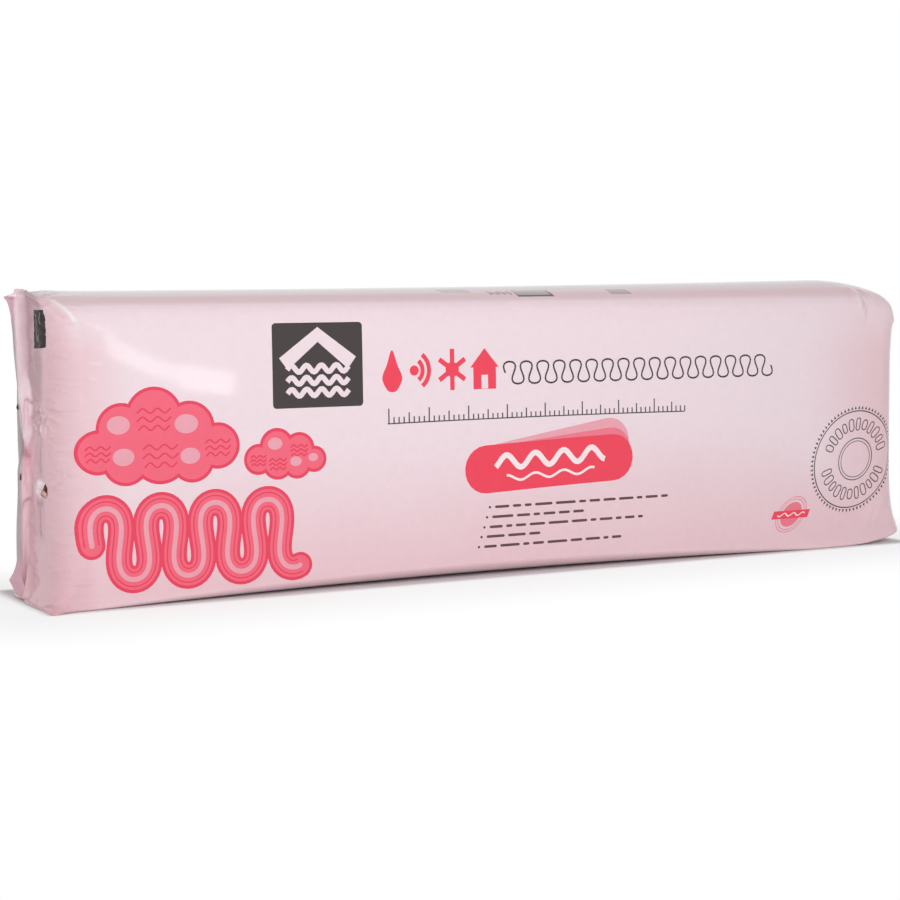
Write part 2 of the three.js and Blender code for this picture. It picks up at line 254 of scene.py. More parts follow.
def seal_reach(z, side):
    """How far an end seal stands out at a height: an ear at its foot and its top, narrow between them."""
    low = share(z, SEAL_FOOT, FOOT_EAR_HEIGHT) ** 0.5
    sweep = 2 * FOOT_EAR_SWEEP * FOOT_EAR_REACH
    under_ear = sweep * low - (sweep - FOOT_EAR_REACH) * low * low
    over_ear = 1 - share(z, FOOT_EAR_HEIGHT, FOOT_EAR_HEIGHT + FOOT_EAR_SPREAD) ** 0.5
    foot = SEAL_WIDTH + (FOOT_EAR_REACH - SEAL_WIDTH) * over_ear * over_ear
    foot = np.where(z < FOOT_EAR_HEIGHT, under_ear, foot)
    tip = RIGHT["seal_top"] - TOP_EAR_DROP
    under_tip = share(z, tip - TOP_EAR_SPREAD, tip) ** TOP_EAR_POWER
    over_tip = 1 - share(z, tip, tip + TOP_EAR_DROP)
    right = foot + (TOP_EAR_REACH - SEAL_WIDTH) * np.where(z > tip, over_tip, under_tip)
    return np.where(side < 0, np.interp(z, LEFT_RIM[:, 0], LEFT_RIM[:, 1]), right)


def film_place(t):
    """Along the film at t: the side, x, and the shares of the way over the end face and over the seal."""
    side, out = side_of(t), np.abs(t)
    start, face, seal, rim = stops(side)
    turn = share(out, start, face) * math.pi / 2
    x = side * (np.minimum(out, start) + EDGE_RUN * np.sin(turn))
    return side, x, share(out, face, seal), share(out, seal, rim)


def bare_film(t, s):
    """Points of the smooth bag: t metres along it from the middle, s metres round its section."""
    side, x, on_end, on_seal = film_place(t)
    x, y, z = np.moveaxis(section(x, s), -1, 0)
    x = x + side * pick(side, "bulge") * (1 - (1 - on_end) ** 2)
    y = y * (1 - on_end) + np.clip(y, -SEAL_HALF, SEAL_HALF) * (1 - on_seal ** SEAL_TAPER) * on_end
    low = pick(side, "foot_lift")
    high = pick(side, "seal_top") - SEAL_RISE
    seal_z = SEAL_FOOT + (z - low) / (high - low) * (high + SEAL_RISE - SEAL_FOOT)
    z = lerp(z, seal_z, smooth(on_end, 0, 1))
    tip = HALF_LENGTH + seal_reach(z, side)
    x = x + side * np.maximum(tip - np.abs(x), 0) * on_seal
    wave = sum(height * noise(z / length, side * row, seed) for height, length, row, seed in SEAL_WAVES)
    return np.stack([x, y + wave * on_seal, z], axis=-1)


BELOW_FACE = 1.3                     # film length to each metre of height under the front face


def on_front(x, z):
    """Film lengths (t, s) of a spot on the front face at x and z."""
    side, out = side_of(x), np.abs(x)
    start = stops(side)[0]
    past = share(out, start, start + EDGE_RUN)
    t = side * (np.minimum(out, start) + EDGE_ARC * np.arcsin(past) / (math.pi / 2))
    foot, _, foot_rise, edge = heights(x)
    low, high = foot + foot_rise, edge - TOP_EDGE[1]
    up = (z - low) / (high - low) * (S_FACE_HIGH - S_FACE_LOW)
    return t, S_FACE_LOW + np.where(up < 0, BELOW_FACE * up, up)


# Folds and wrinkles

FOLD_FADE = 0.25                     # share of a crease's length over which each of its ends fades
FOLD_REACH = 3.2                     # how many widths a crease's flanks reach
FOLD_POWER = 1.4                     # how steeply they fall off


def fold(t, s, path, height, width):
    """A crease along a path of (t, s) spots, with sloping flanks `width` wide, that fades at both ends."""
    rise = np.zeros_like(t)
    spots, here, margin = np.array(path, float), np.stack([t, s], axis=-1), FOLD_REACH * width
    near = ((here > spots.min(axis=0) - margin) & (here < spots.max(axis=0) + margin)).all(axis=-1)
    here = here[near]
    steps = np.linalg.norm(np.diff(spots, axis=0), axis=1)
    run = 0.0
    best, where = np.full(len(here), np.inf), np.zeros(len(here))
    for a, b, step in zip(spots, spots[1:], steps):
        part = np.clip((here - a) @ (b - a) / step ** 2, 0, 1)
        away = np.linalg.norm(here - a - part[:, None] * (b - a), axis=1)
        where = np.where(away < best, (run + part * step) / steps.sum(), where)
        best = np.minimum(best, away)
        run += step
    ends = smooth(where, 0, FOLD_FADE) * smooth(1 - where, 0, FOLD_FADE)
    rise[near] = height * ends * bell(best, width, FOLD_POWER)
    return rise


# Creases as (path, height, width), the paths in film lengths (t, s); below 0 they are grooves
FOLDS = [
    # from the top left corner down over the front
    ([(-1.180, 0.884), (-1.158, 0.866), (-1.142, 0.844), (-1.131, 0.825), (-1.121, 0.808), (-1.108, 0.790)],
     0.0050, 0.0060),
    ([(-1.190, 0.862), (-1.166, 0.838), (-1.144, 0.806)], -0.0030, 0.0056),
    # gusset at the top of the left end
    ([(-1.300, 0.905), (-1.240, 0.880), (-1.190, 0.866)], 0.0040, 0.0070),
    ([(-1.290, 0.880), (-1.236, 0.866), (-1.200, 0.850)], -0.0028, 0.0060),
    # across the left end face and its crease
    ([(-1.306, 0.738), (-1.268, 0.680), (-1.226, 0.640), (-1.196, 0.628)], 0.0050, 0.0075),
    ([(-1.226, 0.656), (-1.194, 0.654), (-1.150, 0.646)], 0.0044, 0.0036),
    ([(-1.216, 0.636), (-1.184, 0.634), (-1.140, 0.624)], 0.0050, 0.0032),
    ([(-1.216, 0.620), (-1.186, 0.614), (-1.146, 0.600)], 0.0046, 0.0032),
    ([(-1.212, 0.606), (-1.190, 0.598), (-1.168, 0.582)], 0.0034, 0.0034),
    ([(-1.254, 0.572), (-1.254, 0.540), (-1.256, 0.500)], 0.0034, 0.0060),
    ([(-1.222, 0.570), (-1.224, 0.540), (-1.226, 0.500)], 0.0030, 0.0060),
    ([(-1.262, 0.628), (-1.236, 0.606), (-1.214, 0.586), (-1.200, 0.560)], 0.0034, 0.0052),
    ([(-1.270, 0.602), (-1.250, 0.590), (-1.236, 0.566)], 0.0028, 0.0050),
    ([(-1.244, 0.636), (-1.222, 0.612), (-1.204, 0.606)], -0.0022, 0.0045),
    ([(-1.254, 0.752), (-1.246, 0.728), (-1.244, 0.700)], 0.0030, 0.0055),
    ([(-1.300, 0.520), (-1.284, 0.498), (-1.262, 0.486)], 0.0036, 0.0060),
    ([(-1.304, 0.540), (-1.280, 0.548), (-1.256, 0.566)], 0.0030, 0.0055),
    ([(-1.262, 0.430), (-1.266, 0.400), (-1.268, 0.352)], 0.0030, 0.0065),
    ([(-1.230, 0.434), (-1.234, 0.400), (-1.235, 0.356)], 0.0034, 0.0060),
    ([(-1.322, 0.298), (-1.286, 0.286), (-1.250, 0.300)], 0.0042, 0.0065),
    ([(-1.220, 0.310), (-1.196, 0.296), (-1.160, 0.300)], 0.0022, 0.0060),
    # crossed creases on the strip below its pinch, and the glossy one above it
    ([(-1.350, 0.432), (-1.326, 0.421), (-1.300, 0.411)], 0.0026, 0.0042),
    ([(-1.350, 0.409), (-1.326, 0.420), (-1.300, 0.434)], 0.0026, 0.0042),
    ([(-1.364, 0.636), (-1.336, 0.650), (-1.306, 0.668)], 0.0034, 0.0060),
    ([(-1.360, 0.662), (-1.336, 0.654), (-1.310, 0.640)], 0.0026, 0.0050),
    # the foot of the left end
    ([(-1.350, 0.228), (-1.318, 0.214), (-1.300, 0.205)], 0.0030, 0.0060),
    ([(-1.300, 0.222), (-1.268, 0.216), (-1.240, 0.220)], 0.0026, 0.0060),
    ([(-1.318, 0.216), (-1.290, 0.208), (-1.262, 0.202)], 0.0030, 0.0042),
    ([(-1.240, 0.210), (-1.206, 0.222), (-1.182, 0.224)], 0.0036, 0.0042),
    # tucks at the top right corner and under the right end
    ([(1.028, 0.900), (1.034, 0.862), (1.036, 0.826), (1.046, 0.786)], 0.0050, 0.0058),
    ([(1.058, 0.890), (1.055, 0.852), (1.050, 0.816), (1.056, 0.772)], -0.0030, 0.0056),
    ([(1.068, 0.890), (1.084, 0.856), (1.092, 0.824)], 0.0026, 0.0070),
    ([(1.110, 0.330), (1.098, 0.290), (1.078, 0.250)], 0.0022, 0.0090),
    ([(1.080, 0.320), (1.064, 0.280), (1.050, 0.246)], 0.0016, 0.0080),
]

# The strip folded over the left seal's root: height, how far it goes over the fin, and over the end face
STRIP = np.array([
    (0.050, 0.008, -0.004), (0.096, 0.014, 0.004), (0.164, 0.015, 0.013), (0.222, 0.013, 0.022),
    (0.240, 0.015, 0.028), (0.307, 0.014, 0.043), (0.330, 0.006, 0.036), (0.346, -0.006, 0.027),
    (0.362, 0.004, 0.040), (0.391, 0.0105, 0.054), (0.440, 0.0140, 0.062), (0.480, 0.0155, 0.060),
    (0.510, 0.0160, 0.044), (0.550, 0.0170, 0.034), (0.596, 0.0180, 0.026), (0.650, 0.0195, 0.027),
    (0.690, 0.0195, 0.036), (0.720, 0.0195, 0.040)])
STRIP_RISE = 0.0045                  # how far its edges stand off the film under them
STRIP_BULGE = (0.008, 0.006)         # how far its middle stands out, square to the fin and to the end face
STRIP_RUFFLE = (0.6, 0.8)            # share of its ruffles that goes each way
RUFFLE = [(0.0012, 0.050, 0.045, 52)]
RUFFLE_CREASES = (0.0013, 0.026, 51)   # height, grain and seed
ROOT_FILL = 0.010                    # how far loose film at the strip's foot bridges the corner
END_FACE_WIDTH = 0.128
HEIGHT_OF_S = -0.188                 # z less s over the left end's front half
FOLDED_TOP = (0.78, 0.88)            # s over which the film at the seal's top lies calmer


def strip_edges(s):
    """How far the folded strip reaches over the fin, and over the end face."""
    return [np.interp(s + HEIGHT_OF_S, STRIP[:, 0], STRIP[:, column]) for column in (1, 2)]


def strip_cover(t, s):
    """Where the folded strip lies, from 0 to 1, and the distance over the fin (over the end face below 0)."""
    _, _, on_end, on_seal = film_place(t)
    z = s + HEIGHT_OF_S
    over = on_seal * seal_reach(z, -1.0) - END_FACE_WIDTH * (1 - on_end)
    outer, inner = strip_edges(s)
    cover = smooth(over, -inner - 0.006, 0.001 - inner) * (1 - smooth(over, outer - 0.0008, outer + 0.0016))
    return cover * on_left_front(t, s) * (1 - smooth(on_seal, 0.86, 0.97)) * smooth(z, 0.046, 0.075), over


def strip_shift(t, s):
    """Shift of the film where the strip, and loose film at its foot, bridge the left seal's root."""
    _, _, on_end, _ = film_place(t)
    cover, over = strip_cover(t, s)
    outer, inner = strip_edges(s)
    along = np.clip(over, -inner, outer)
    q = (along + inner) / (inner + outer + 1e-9)
    aim = math.pi / 2 * smooth(outer, -0.004, 0.006)
    starts = STRIP_RISE, inner
    ends = np.maximum(outer, 0) + STRIP_RISE * np.cos(aim), np.maximum(-outer, 0) + STRIP_RISE * np.sin(aim)
    own = np.maximum(along, 0), np.maximum(-along, 0)
    height, grain, seed = RUFFLE_CREASES
    ruffle = (height * crumple(t, s, grain, seed) + rough(t, s, RUFFLE)) * (1 - 0.85 * smooth(s, *FOLDED_TOP))
    part = cover * (1 - smooth(s, 0.90, 1.0))
    filled = hump(s, (0.19, 0.22), (0.27, 0.34)) * on_left_front(t, s) * smooth(on_end, 0.3, 1)
    filled = ROOT_FILL * filled * bell(over, 0.020) * (1 - cover)
    turn = math.pi / 2 * smooth(over, -0.020, 0.015)
    shift = []
    ways = (np.cos(turn), np.sin(turn))
    for start, end, bulge, mine, lean, way in zip(starts, ends, STRIP_BULGE, own, STRIP_RUFFLE, ways):
        middle = (start + end) / 2 + bulge
        bridge = start * (1 - q) ** 2 + 2 * middle * q * (1 - q) + end * q * q
        shift.append(-part * (bridge - mine + lean * ruffle) - filled * way)
    return np.stack([*shift, 0 * filled], axis=-1)


TEAR = [(-1.2125, 0.4750), (-1.2080, 0.4640), (-1.2070, 0.4500), (-1.2170, 0.4440), (-1.2290, 0.4450),
        (-1.2275, 0.4570), (-1.2190, 0.4680)]
# Crumpled places: their middles and half sizes, how high they stand, and their creases' depth, grain and seed
Crumpled = namedtuple("Crumpled", "t s half_t half_s lift depth grain seed")
FLAP = Crumpled(-1.237, 0.461, 0.029, 0.021, 0.0040, 0.0030, 0.011, 41)      # crumpled film beside the tear, whitish in part and with painted highlights
PUCKER = Crumpled(-1.238, 0.603, 0.052, 0.036, 0.0024, 0.0036, 0.012, 45)    # puckers by the strip


def crumple(t, s, grain, seed):
    """Sharp creases in all directions, around 0."""
    bent = grain * 0.5 * noise(t / grain / 1.7, s / grain / 1.7, seed + 1)
    return ridges((t + s) / grain / 1.6, (s - t + bent) / grain, seed) ** 2 + ridges(
        (t - 0.4 * s) / grain, (s + bent) / grain / 1.4, seed + 2) ** 2 - 0.8


def crumpled(t, s, place):
    """How much of a crumpled place shows, from 0 to 1, and its creases."""
    away = np.hypot((t - place.t) / place.half_t, (s - place.s) / place.half_s)
    return 1 - smooth(away, 0.55, 1.0), crumple(t, s, place.grain, place.seed)


SLACK = [(0.0005, 0.45, 0.26, 1), (0.00012, 0.16, 0.10, 2)]
GATHER_BEND = [(0.010, 0.07, 0.05, 8)]
GATHER_GRIT = [(0.5, 0.035, 0.006, 4)]
FINE_GATHERS = 0.0015                # height of the fine gathers, which only the left end's front has
SEAL_GATHERS = 0.0026
END_SLACK = 0.0016
TOP_LINE = 0.0016                    # how far the film stands out along the batts' top edge
SEAL_CRUMPLE = (0.0007, 0.024, 61)   # height, grain and seed
STAND_OFF = 0.0018                   # the film's usual distance outside its solid's skin
DEEPEST = -0.0010                    # and the least, which keeps it off the wool
FLOOR_GAP = 0.0002                   # and under the foot


def relief(t, s):
    """How far the film stands off the smooth bag: folds, gathers and slack, in metres."""
    side, _, on_end, on_seal = film_place(t)
    start, face, seal, _ = stops(side)
    out, up = np.abs(t), from_foot(s)
    bent = s + rough(t, s, GATHER_BEND)
    fine = ridges(t / 0.060, bent / 0.0085, 3) ** 2 - 0.45 + rough(t, bent, GATHER_GRIT)
    broad = ridges(t / 0.11, bent / 0.024, 6) ** 2 - 0.4
    gather = FINE_GATHERS * on_left_front(t, s) * (1 - 0.4 * on_end) * fine + pick(side, "gathers") * broad
    crease = pick(side, "crease") * bell(np.abs(out - face - 0.002), 0.006, 1.5)
    at_seal = smooth(on_end, 0.30, 0.90) * (1 - smooth(on_seal, 0, 0.3)) * (1 - on_seal)
    pinch = SEAL_GATHERS * at_seal * (ridges(on_end * 1.3 + 3, s / 0.030, 5) ** 2 - 0.4)
    slack = rough(t, s, SLACK) + END_SLACK * smooth(on_end, 0, 0.3) * noise(on_end * 2.2, s / 0.055, 9)
    top_line = TOP_LINE * bell(up - S_FACE_HIGH - 0.034, 0.013, 1.5) * (1 - on_end)
    height = STAND_OFF + slack + smooth(out, start - 0.04, start + 0.08) * gather + crease + pinch + top_line
    for path, rise, width in FOLDS:
        height = height + fold(t, s, path, rise, width)
    for place in (FLAP, PUCKER):
        shown, creases = crumpled(t, s, place)
        height = height + shown * (place.lift + place.depth * creases)
    off_foot = smooth(up, S_FOOT * 0.9, S_FACE_LOW)
    height = np.maximum(off_foot * height, np.where(off_foot < 1, FLOOR_GAP, DEEPEST)) * (1 - on_seal) ** 0.7
    # it lies close in the corner at the seal's root, and along the seal's top
    height = height * (1 - 0.9 * bell(out - seal, 0.009))
    height = height * (1 - 0.85 * smooth(on_end, 0.5, 1) * smooth(up, 0.90, 1.0))
    loose = hump(on_seal, (0, 0.3), (0.75, 1)) * (1 - 0.85 * smooth(s, *FOLDED_TOP) * (s < S_TOP))
    crumple_height, grain, seed = SEAL_CRUMPLE
    return height + crumple_height * loose * crumple(t, s, grain, seed)


# Corners drawn out of line: the middle and reach of each pull, and its shift
PULLS = [
    ((-1.186, -0.192, 0), (0.030, 0.026, 0.014), (-0.013, -0.028, 0)),         # tip at the left foot
    ((1.160, -0.175, 0.600), (0.018, 0.022, 0.010), (0.005, -0.001, 0.001)),   # nib under the right end's top
]
LIP = (0.014, (-0.008, 0, 0))        # height and shift of the film's lip on the floor across the left foot


def corner_pull(place):
    """Shift of loose film at the left foot and the right end's top."""
    x, y, z = np.moveaxis(place, -1, 0)
    height, lip_shift = LIP
    lip = smooth(-x, 1.165, 1.188) * (1 - smooth(np.abs(y + 0.10), 0.06, 0.11)) * bell(z, height)
    shift = lip[..., None] * np.array(lip_shift)
    for middle, reach, pull in PULLS:
        away = np.linalg.norm((place - middle) / np.array(reach), axis=-1)
        shift = shift + bell(away, 1)[..., None] * np.array(pull)
    return shift


def outward(surface, t, s, step):
    """Directions square to a surface of (t, s), away from the pack."""
    along = surface(t + step, s) - surface(t - step, s)
    return unit(np.cross(along, surface(t, s + step) - surface(t, s - step)))


def film_points(t, s):
    """Points of the finished film, wrinkles included."""
    place = bare_film(t, s)
    raised = outward(bare_film, t, s, 0.001) * relief(t, s)[..., None]
    return place + raised + strip_shift(t, s) + corner_pull(place)


def film_normals(t, s):
    """Outward directions of the finished film."""
    step = 0.0012
    edge = stops(side_of(t))[3] - 2.5 * step
    return outward(film_points, np.clip(t, -edge, edge), s, step)


def blended_normals(mesh, t, s):
    """The film's own directions on its faces, and the mesh's on its ends, where sharp creases meet."""
    own = np.empty(len(t) * 3, np.float32)
    mesh.vertex_normals.foreach_get("vector", own)
    face = stops(side_of(t))[1]
    part = smooth(np.abs(t), face - 0.012, face + 0.004)[:, None]
    return unit(lerp(film_normals(t, s), own.reshape(-1, 3), part))


# Print: flat shapes of one ink each, later ones over earlier ones

HOLE = "hole"                        # not an ink: the film is cut away there


def pairs(u, v):
    """Spots from their two coordinates."""
    return np.stack([u, v], axis=1)


def arc(cx, cz, rx, rz, angles):
    """Spots of an ellipse round a centre, at these angles."""
    return pairs(cx + rx * np.cos(angles), cz + rz * np.sin(angles))


def disc(cx, cz, rx, rz=None, count=40):
    """A filled circle, or an ellipse if a second half size is given."""
    return arc(cx, cz, rx, rz or rx, np.linspace(0, 2 * math.pi, count, endpoint=False))


def capsule(cx, cz, length, height, angle=0.0, count=12):
    """A bar with round ends."""
    r = height / 2
    right = arc(length / 2 - r, 0, r, r, np.linspace(-math.pi / 2, math.pi / 2, count))
    turn = np.array([[math.cos(angle), math.sin(angle)], [-math.sin(angle), math.cos(angle)]])
    return np.concatenate([right, -right]) @ turn + (cx, cz)


def box(x0, z0, x1, z1):
    """An upright rectangle."""
    return np.array([(x0, z0), (x1, z0), (x1, z1), (x0, z1)], float)


def rounded_box(x0, z0, x1, z1, corner):
    """An upright rectangle with round corners."""
    quarter = np.linspace(0, math.pi / 2, 6)
    left, right, low, high = x0 + corner, x1 - corner, z0 + corner, z1 - corner
    centres = ((right, high), (left, high), (left, low), (right, low))
    return np.concatenate([arc(*centre, corner, corner, quarter + turn * math.pi / 2)
                           for turn, centre in enumerate(centres)])


def rounded(spots, per=8):
    """A smooth closed curve through the given spots."""
    p = np.array(spots, float)
    p = np.concatenate([p[-1:], p, p[:2]])
    k = np.linspace(0, 1, per, endpoint=False)[:, None]
    parts = []
    for a, b, c, d in zip(p, p[1:], p[2:], p[3:]):
        bend, twist = 2 * a - 5 * b + 4 * c - d, 3 * b - a - 3 * c + d
        parts.append(b + 0.5 * k * (c - a + k * (bend + k * twist)))
    return np.concatenate(parts)


def beside(line):
    """Unit directions to the left of a line at each of its spots."""
    along = unit(np.gradient(line, axis=0))
    return pairs(-along[:, 1], along[:, 0])


def stroke(spots, width):
    """The outline of a line of this width along the spots."""
    line = np.array(spots, float)
    across = beside(line) * width / 2
    return np.concatenate([line + across, (line - across)[::-1]])


def wave(x, z, height, pace):
    """A wavy line over the places x; its pace is how fast it turns along them."""
    return pairs(x, z + height * np.sin(x * pace))


def loops(x0, x1, count, middle, height, lean, per):
    """The looping line that stands for insulation in a building section."""
    u = np.linspace(0, count * 2 * math.pi, count * per + 1)
    x = x0 + (x1 - x0) * u / u[-1] - lean * np.sin(2 * u)
    return pairs(x, middle + height / 2 * np.sin(u))


def leaning(shapes, cz, slope):
    """The same shapes, leaning to the right as they rise past the height cz."""
    return [(ink, pairs(loop[:, 0] + slope * (loop[:, 1] - cz), loop[:, 1])) for ink, loop in shapes]


def line_shape(ink, spots, width):
    """A line with round ends."""
    return [(ink, stroke(spots, width))] + [(ink, disc(*spots[end], width / 2, count=20)) for end in (0, -1)]


# Heaps of wool: each lobe's middle and radius, as shares of the heap's size
BIG_HEAP = [(-1.00, -0.05, 0.30), (-0.62, 0.30, 0.36), (-0.08, 0.48, 0.42), (0.50, 0.28, 0.38),
            (0.98, -0.02, 0.32), (-0.55, -0.20, 0.34), (0.02, -0.10, 0.44), (0.55, -0.22, 0.32)]
SMALL_HEAP = [(-0.80, -0.02, 0.34), (-0.25, 0.32, 0.42), (0.42, 0.22, 0.38), (0.88, -0.08, 0.28),
              (-0.22, -0.14, 0.38), (0.36, -0.18, 0.34)]
OUTLINE = 0.0075                     # width of the outline round the large forms
FIBRE_ROWS = (-0.42, -0.10, 0.22)    # shares of a lobe's radius above its middle
# The looping batt's bands: place across it and width, as shares of its own width
BATT_BANDS = ((0.0, "pale_pink", 0.24), (0.34, "outline_red", 0.07), (-0.34, "outline_red", 0.07))


def wool_cloud(cx, cz, size, lobes):
    """A heap of wool: round lobes within one outline, some with wavy fibres."""
    places = [(cx + dx * size, cz + dz * size, r * size) for dx, dz, r in lobes]
    shapes = [("outline_red", disc(x, z, r + OUTLINE, count=36)) for x, z, r in places]
    shapes += [("hot_pink", disc(x, z, r, count=36)) for x, z, r in places]
    run = np.linspace(-1, 1, 22)
    for x, z, r in places[::2]:
        for rise in FIBRE_ROWS:
            reach = 0.66 * r * math.sqrt(1 - rise * rise)
            fibre = pairs(x + reach * run, z + r * (rise + 0.09 * np.sin(run * 7)))
            shapes += line_shape("outline_red", fibre, 0.0040)
    for x, z, r in places[1::2]:
        shapes.append(("pale_pink", disc(x - 0.12 * r, z + 0.18 * r, 0.52 * r, 0.40 * r, count=30)))
    return shapes


def batt_ribbon(line, width):
    """A batt seen edge on, looping along the line, with its facings and fibre lines."""
    shapes = line_shape("outline_red", line, width + 2 * OUTLINE) + line_shape("hot_pink", line, width)
    for place, ink, thick in BATT_BANDS:
        shapes += line_shape(ink, line + beside(line) * place * width, thick * width)
    return shapes


def wool_motif():
    """A heap of wool and a tuft over a looping batt."""
    line = loops(-1.098, -0.590, 4, 0.142, 0.160, 0.016, 50)
    shapes = batt_ribbon(line[:-10], 0.046)
    return shapes + wool_cloud(-0.940, 0.352, 0.140, BIG_HEAP) + wool_cloud(-0.640, 0.315, 0.082, SMALL_HEAP)


def section_sign(x0, z0, x1, z1):
    """Dark square with a house section: a roof over wavy layers."""
    def at(spots):
        return np.array(spots) * (x1 - x0, z1 - z0) + (x0, z0)

    line = (x1 - x0) / 0.2           # the lines' widths grow with the square
    shapes = [("dark", rounded_box(x0, z0, x1, z1, 0.009)),
              ("film", stroke(at([(0.12, 0.52), (0.5, 0.86), (0.88, 0.52)]), 0.030 * line))]
    for level in (0.18, 0.32, 0.46):
        shapes.append(("film", stroke(at(wave(np.linspace(0.16, 0.84, 40), level, 0.04, 38)), 0.011 * line)))
    return shapes


def pictograms():
    """Crimson drop, sound waves, frost star and house, between the heights low and high."""
    low, high = 0.455, 0.553
    mid, eaves = (low + high) / 2, low + 0.052
    drop_x, speaker_x, star_x, house_x = -0.366, -0.308, -0.207, -0.119
    half_drop = [(0.014, mid + 0.014), (0.026, mid - 0.016), (0.014, low + 0.006)]
    drop = [(drop_x, high), *((drop_x + out, z) for out, z in half_drop), (drop_x, low),
            *((drop_x - out, z) for out, z in reversed(half_drop))]
    shapes = [rounded(drop), disc(speaker_x, mid, 0.012)]
    for r in (0.026, 0.043):
        shapes.append(stroke(arc(speaker_x - 0.004, mid, r, 1.05 * r, np.linspace(-0.95, 0.95, 16)), 0.011))
    for k in range(3):
        angle = math.pi / 6 + k * math.pi / 3
        dx, dz = 0.040 * math.cos(angle), 0.049 * math.sin(angle)
        shapes.append(stroke([(star_x - dx, mid - dz), (star_x + dx, mid + dz)], 0.012))
    half_house = [(0.039, eaves), (0.031, eaves), (0.031, low)]
    house = [*((house_x - out, z) for out, z in reversed(half_house)), (house_x, high),
             *((house_x + out, z) for out, z in half_house)]
    shapes += [disc(star_x, mid, 0.018), np.array(house)]
    door = box(house_x - 0.009, low + 0.001, house_x + 0.009, low + 0.034)
    return [("crimson", shape) for shape in shapes] + [("film", door)]


# Rows of dashes: height, where the row's dot is, and where it ends
DASH_ROWS = ((0.170, -0.107, 0.410), (0.146, -0.115, 0.160), (0.122, -0.122, 0.335),
             (0.099, -0.130, 0.035), (0.075, -0.137, 0.277))


def lines_of_dashes():
    """Five short rows, each a dot and a run of dashes of word length."""
    shapes = []
    for row, (z, x0, x1) in enumerate(DASH_ROWS):
        shapes.append(("dark", disc(x0, z, 0.0032, count=10)))
        x, k = x0 + 0.014, 0
        while x < x1 - 0.012:
            length = min(0.016 + 0.045 * float(lattice(k, row, 31)), x1 - x)
            shapes.append(("dark_plum", capsule(x + length / 2, z, length, 0.0066, count=4)))
            x += length + 0.009
            k += 1
    return shapes


def ring_mark(cx, cz):
    """Round mark: a toothed ring, two arcs of outlined blocks and a double inner ring, leaning a little."""
    teeth, root, tip, blocks = 72, 0.1335, 0.1425, 11
    shapes = []
    half = 0.62 * math.pi / teeth
    for k in range(teeth):
        radii, angles = np.array((root, tip, root)), 2 * math.pi * k / teeth + np.array((-half, 0, half))
        shapes.append(("dark", arc(cx, cz, radii, radii, angles)))
    for x, r, line in ((0, 0.1300, 0.0030), (0.008, 0.0570, 0.0026), (0.008, 0.0490, 0.0020)):
        shapes += [("dark", disc(cx + x, cz, r, count=80)), ("film", disc(cx + x, cz, r - line, count=80))]
    for k in range(2 * blocks):
        a = math.radians(20 + 14 * (k % blocks) + 180 * (k // blocks))
        x, z = cx + 0.004 + 0.093 * math.cos(a), cz + 0.093 * math.sin(a)
        long, wide = 0.036 - 0.006 * (k % 3 == 1), 0.0185 - 0.003 * (k % 2)
        for ink, inset in (("dark", 0), ("film", 0.006)):
            shapes.append((ink, capsule(x, z, long - inset, wide - inset, a, 5)))
    return leaning(shapes, cz, 0.15)


def round_badge(cx, cz):
    """Small round badge of rings under a banner with a wave, leaning."""
    rings = (("outline_red", 0.0465), ("film", 0.0450), ("outline_red", 0.0400), ("film", 0.0386),
             ("mid_pink", 0.0320))
    shapes = [(ink, disc(cx, cz, r, count=48)) for ink, r in rings]
    shapes.append(("crimson", box(cx - 0.060, cz - 0.0105, cx + 0.058, cz + 0.0105)))
    shapes.append(("white", stroke(wave(np.linspace(-0.044, 0.044, 34), cz, 0.0040, 210) + (cx, 0), 0.0030)))
    return leaning(shapes, cz, 0.45)


def layered_bars():
    """Three bars one over another, with white waves on the front one."""
    shapes = [("pale_pink", capsule(0.078, 0.292, 0.430, 0.112, 0.16)),
              ("mid_pink", capsule(0.068, 0.278, 0.455, 0.108, 0.10)),
              ("crimson", capsule(0.064, 0.268, 0.478, 0.116, 0.035))]
    for z, height, width, x0, x1 in ((0.280, 0.016, 0.014, -0.09, 0.22), (0.240, 0.007, 0.006, -0.06, 0.19)):
        x = np.linspace(x0, x1, 60)
        shapes.append(("white", stroke(wave(x, z + 0.035 * x, height, 78), width)))
    return shapes


def tick_rule():
    """A rule with ticks of three heights."""
    low, line, gap, tick = 0.3800, 0.0028, 0.01328, 0.0034
    shapes = [("dark", box(-0.380, low, 0.460, low + line))]
    for k in range(64):
        x = -0.378 + k * gap
        high = 0.034 if k % 8 == 0 else 0.024 if k % 4 == 0 else 0.014
        shapes.append(("dark", box(x, low + line - 0.0003, x + tick, low + line + high)))
    return shapes


def front_print():
    """All that is printed on the front face, at x and z."""
    shapes = wool_motif() + section_sign(-0.668, 0.426, -0.442, 0.620) + pictograms()
    shapes.append(("dark", stroke(loops(-0.062, 0.732, 17, 0.492, 0.054, 0.010, 20), 0.0046)))
    shapes += tick_rule() + layered_bars() + lines_of_dashes()
    return shapes + ring_mark(1.0066, 0.2338) + round_badge(0.801, 0.098)


def top_print():
    """Faint grey marks and a framed block on the bag's long top edge, as (t, s)."""
    shapes = [("dark", box(-0.004, 0.866, 0.098, 0.904)), ("top_grey", box(-0.001, 0.873, 0.091, 0.902)),
              ("top_grey", box(-0.198, 0.890, -0.118, 0.936)), ("top_grey", box(0.268, 0.872, 0.330, 0.905))]
    for k in range(7):
        t = -0.074 + 0.0092 * k
        shapes.append(("dark_plum", box(t, 0.876 + 0.004 * (k % 2), t + 0.0046, 0.900 - 0.005 * (k % 3))))
    return shapes


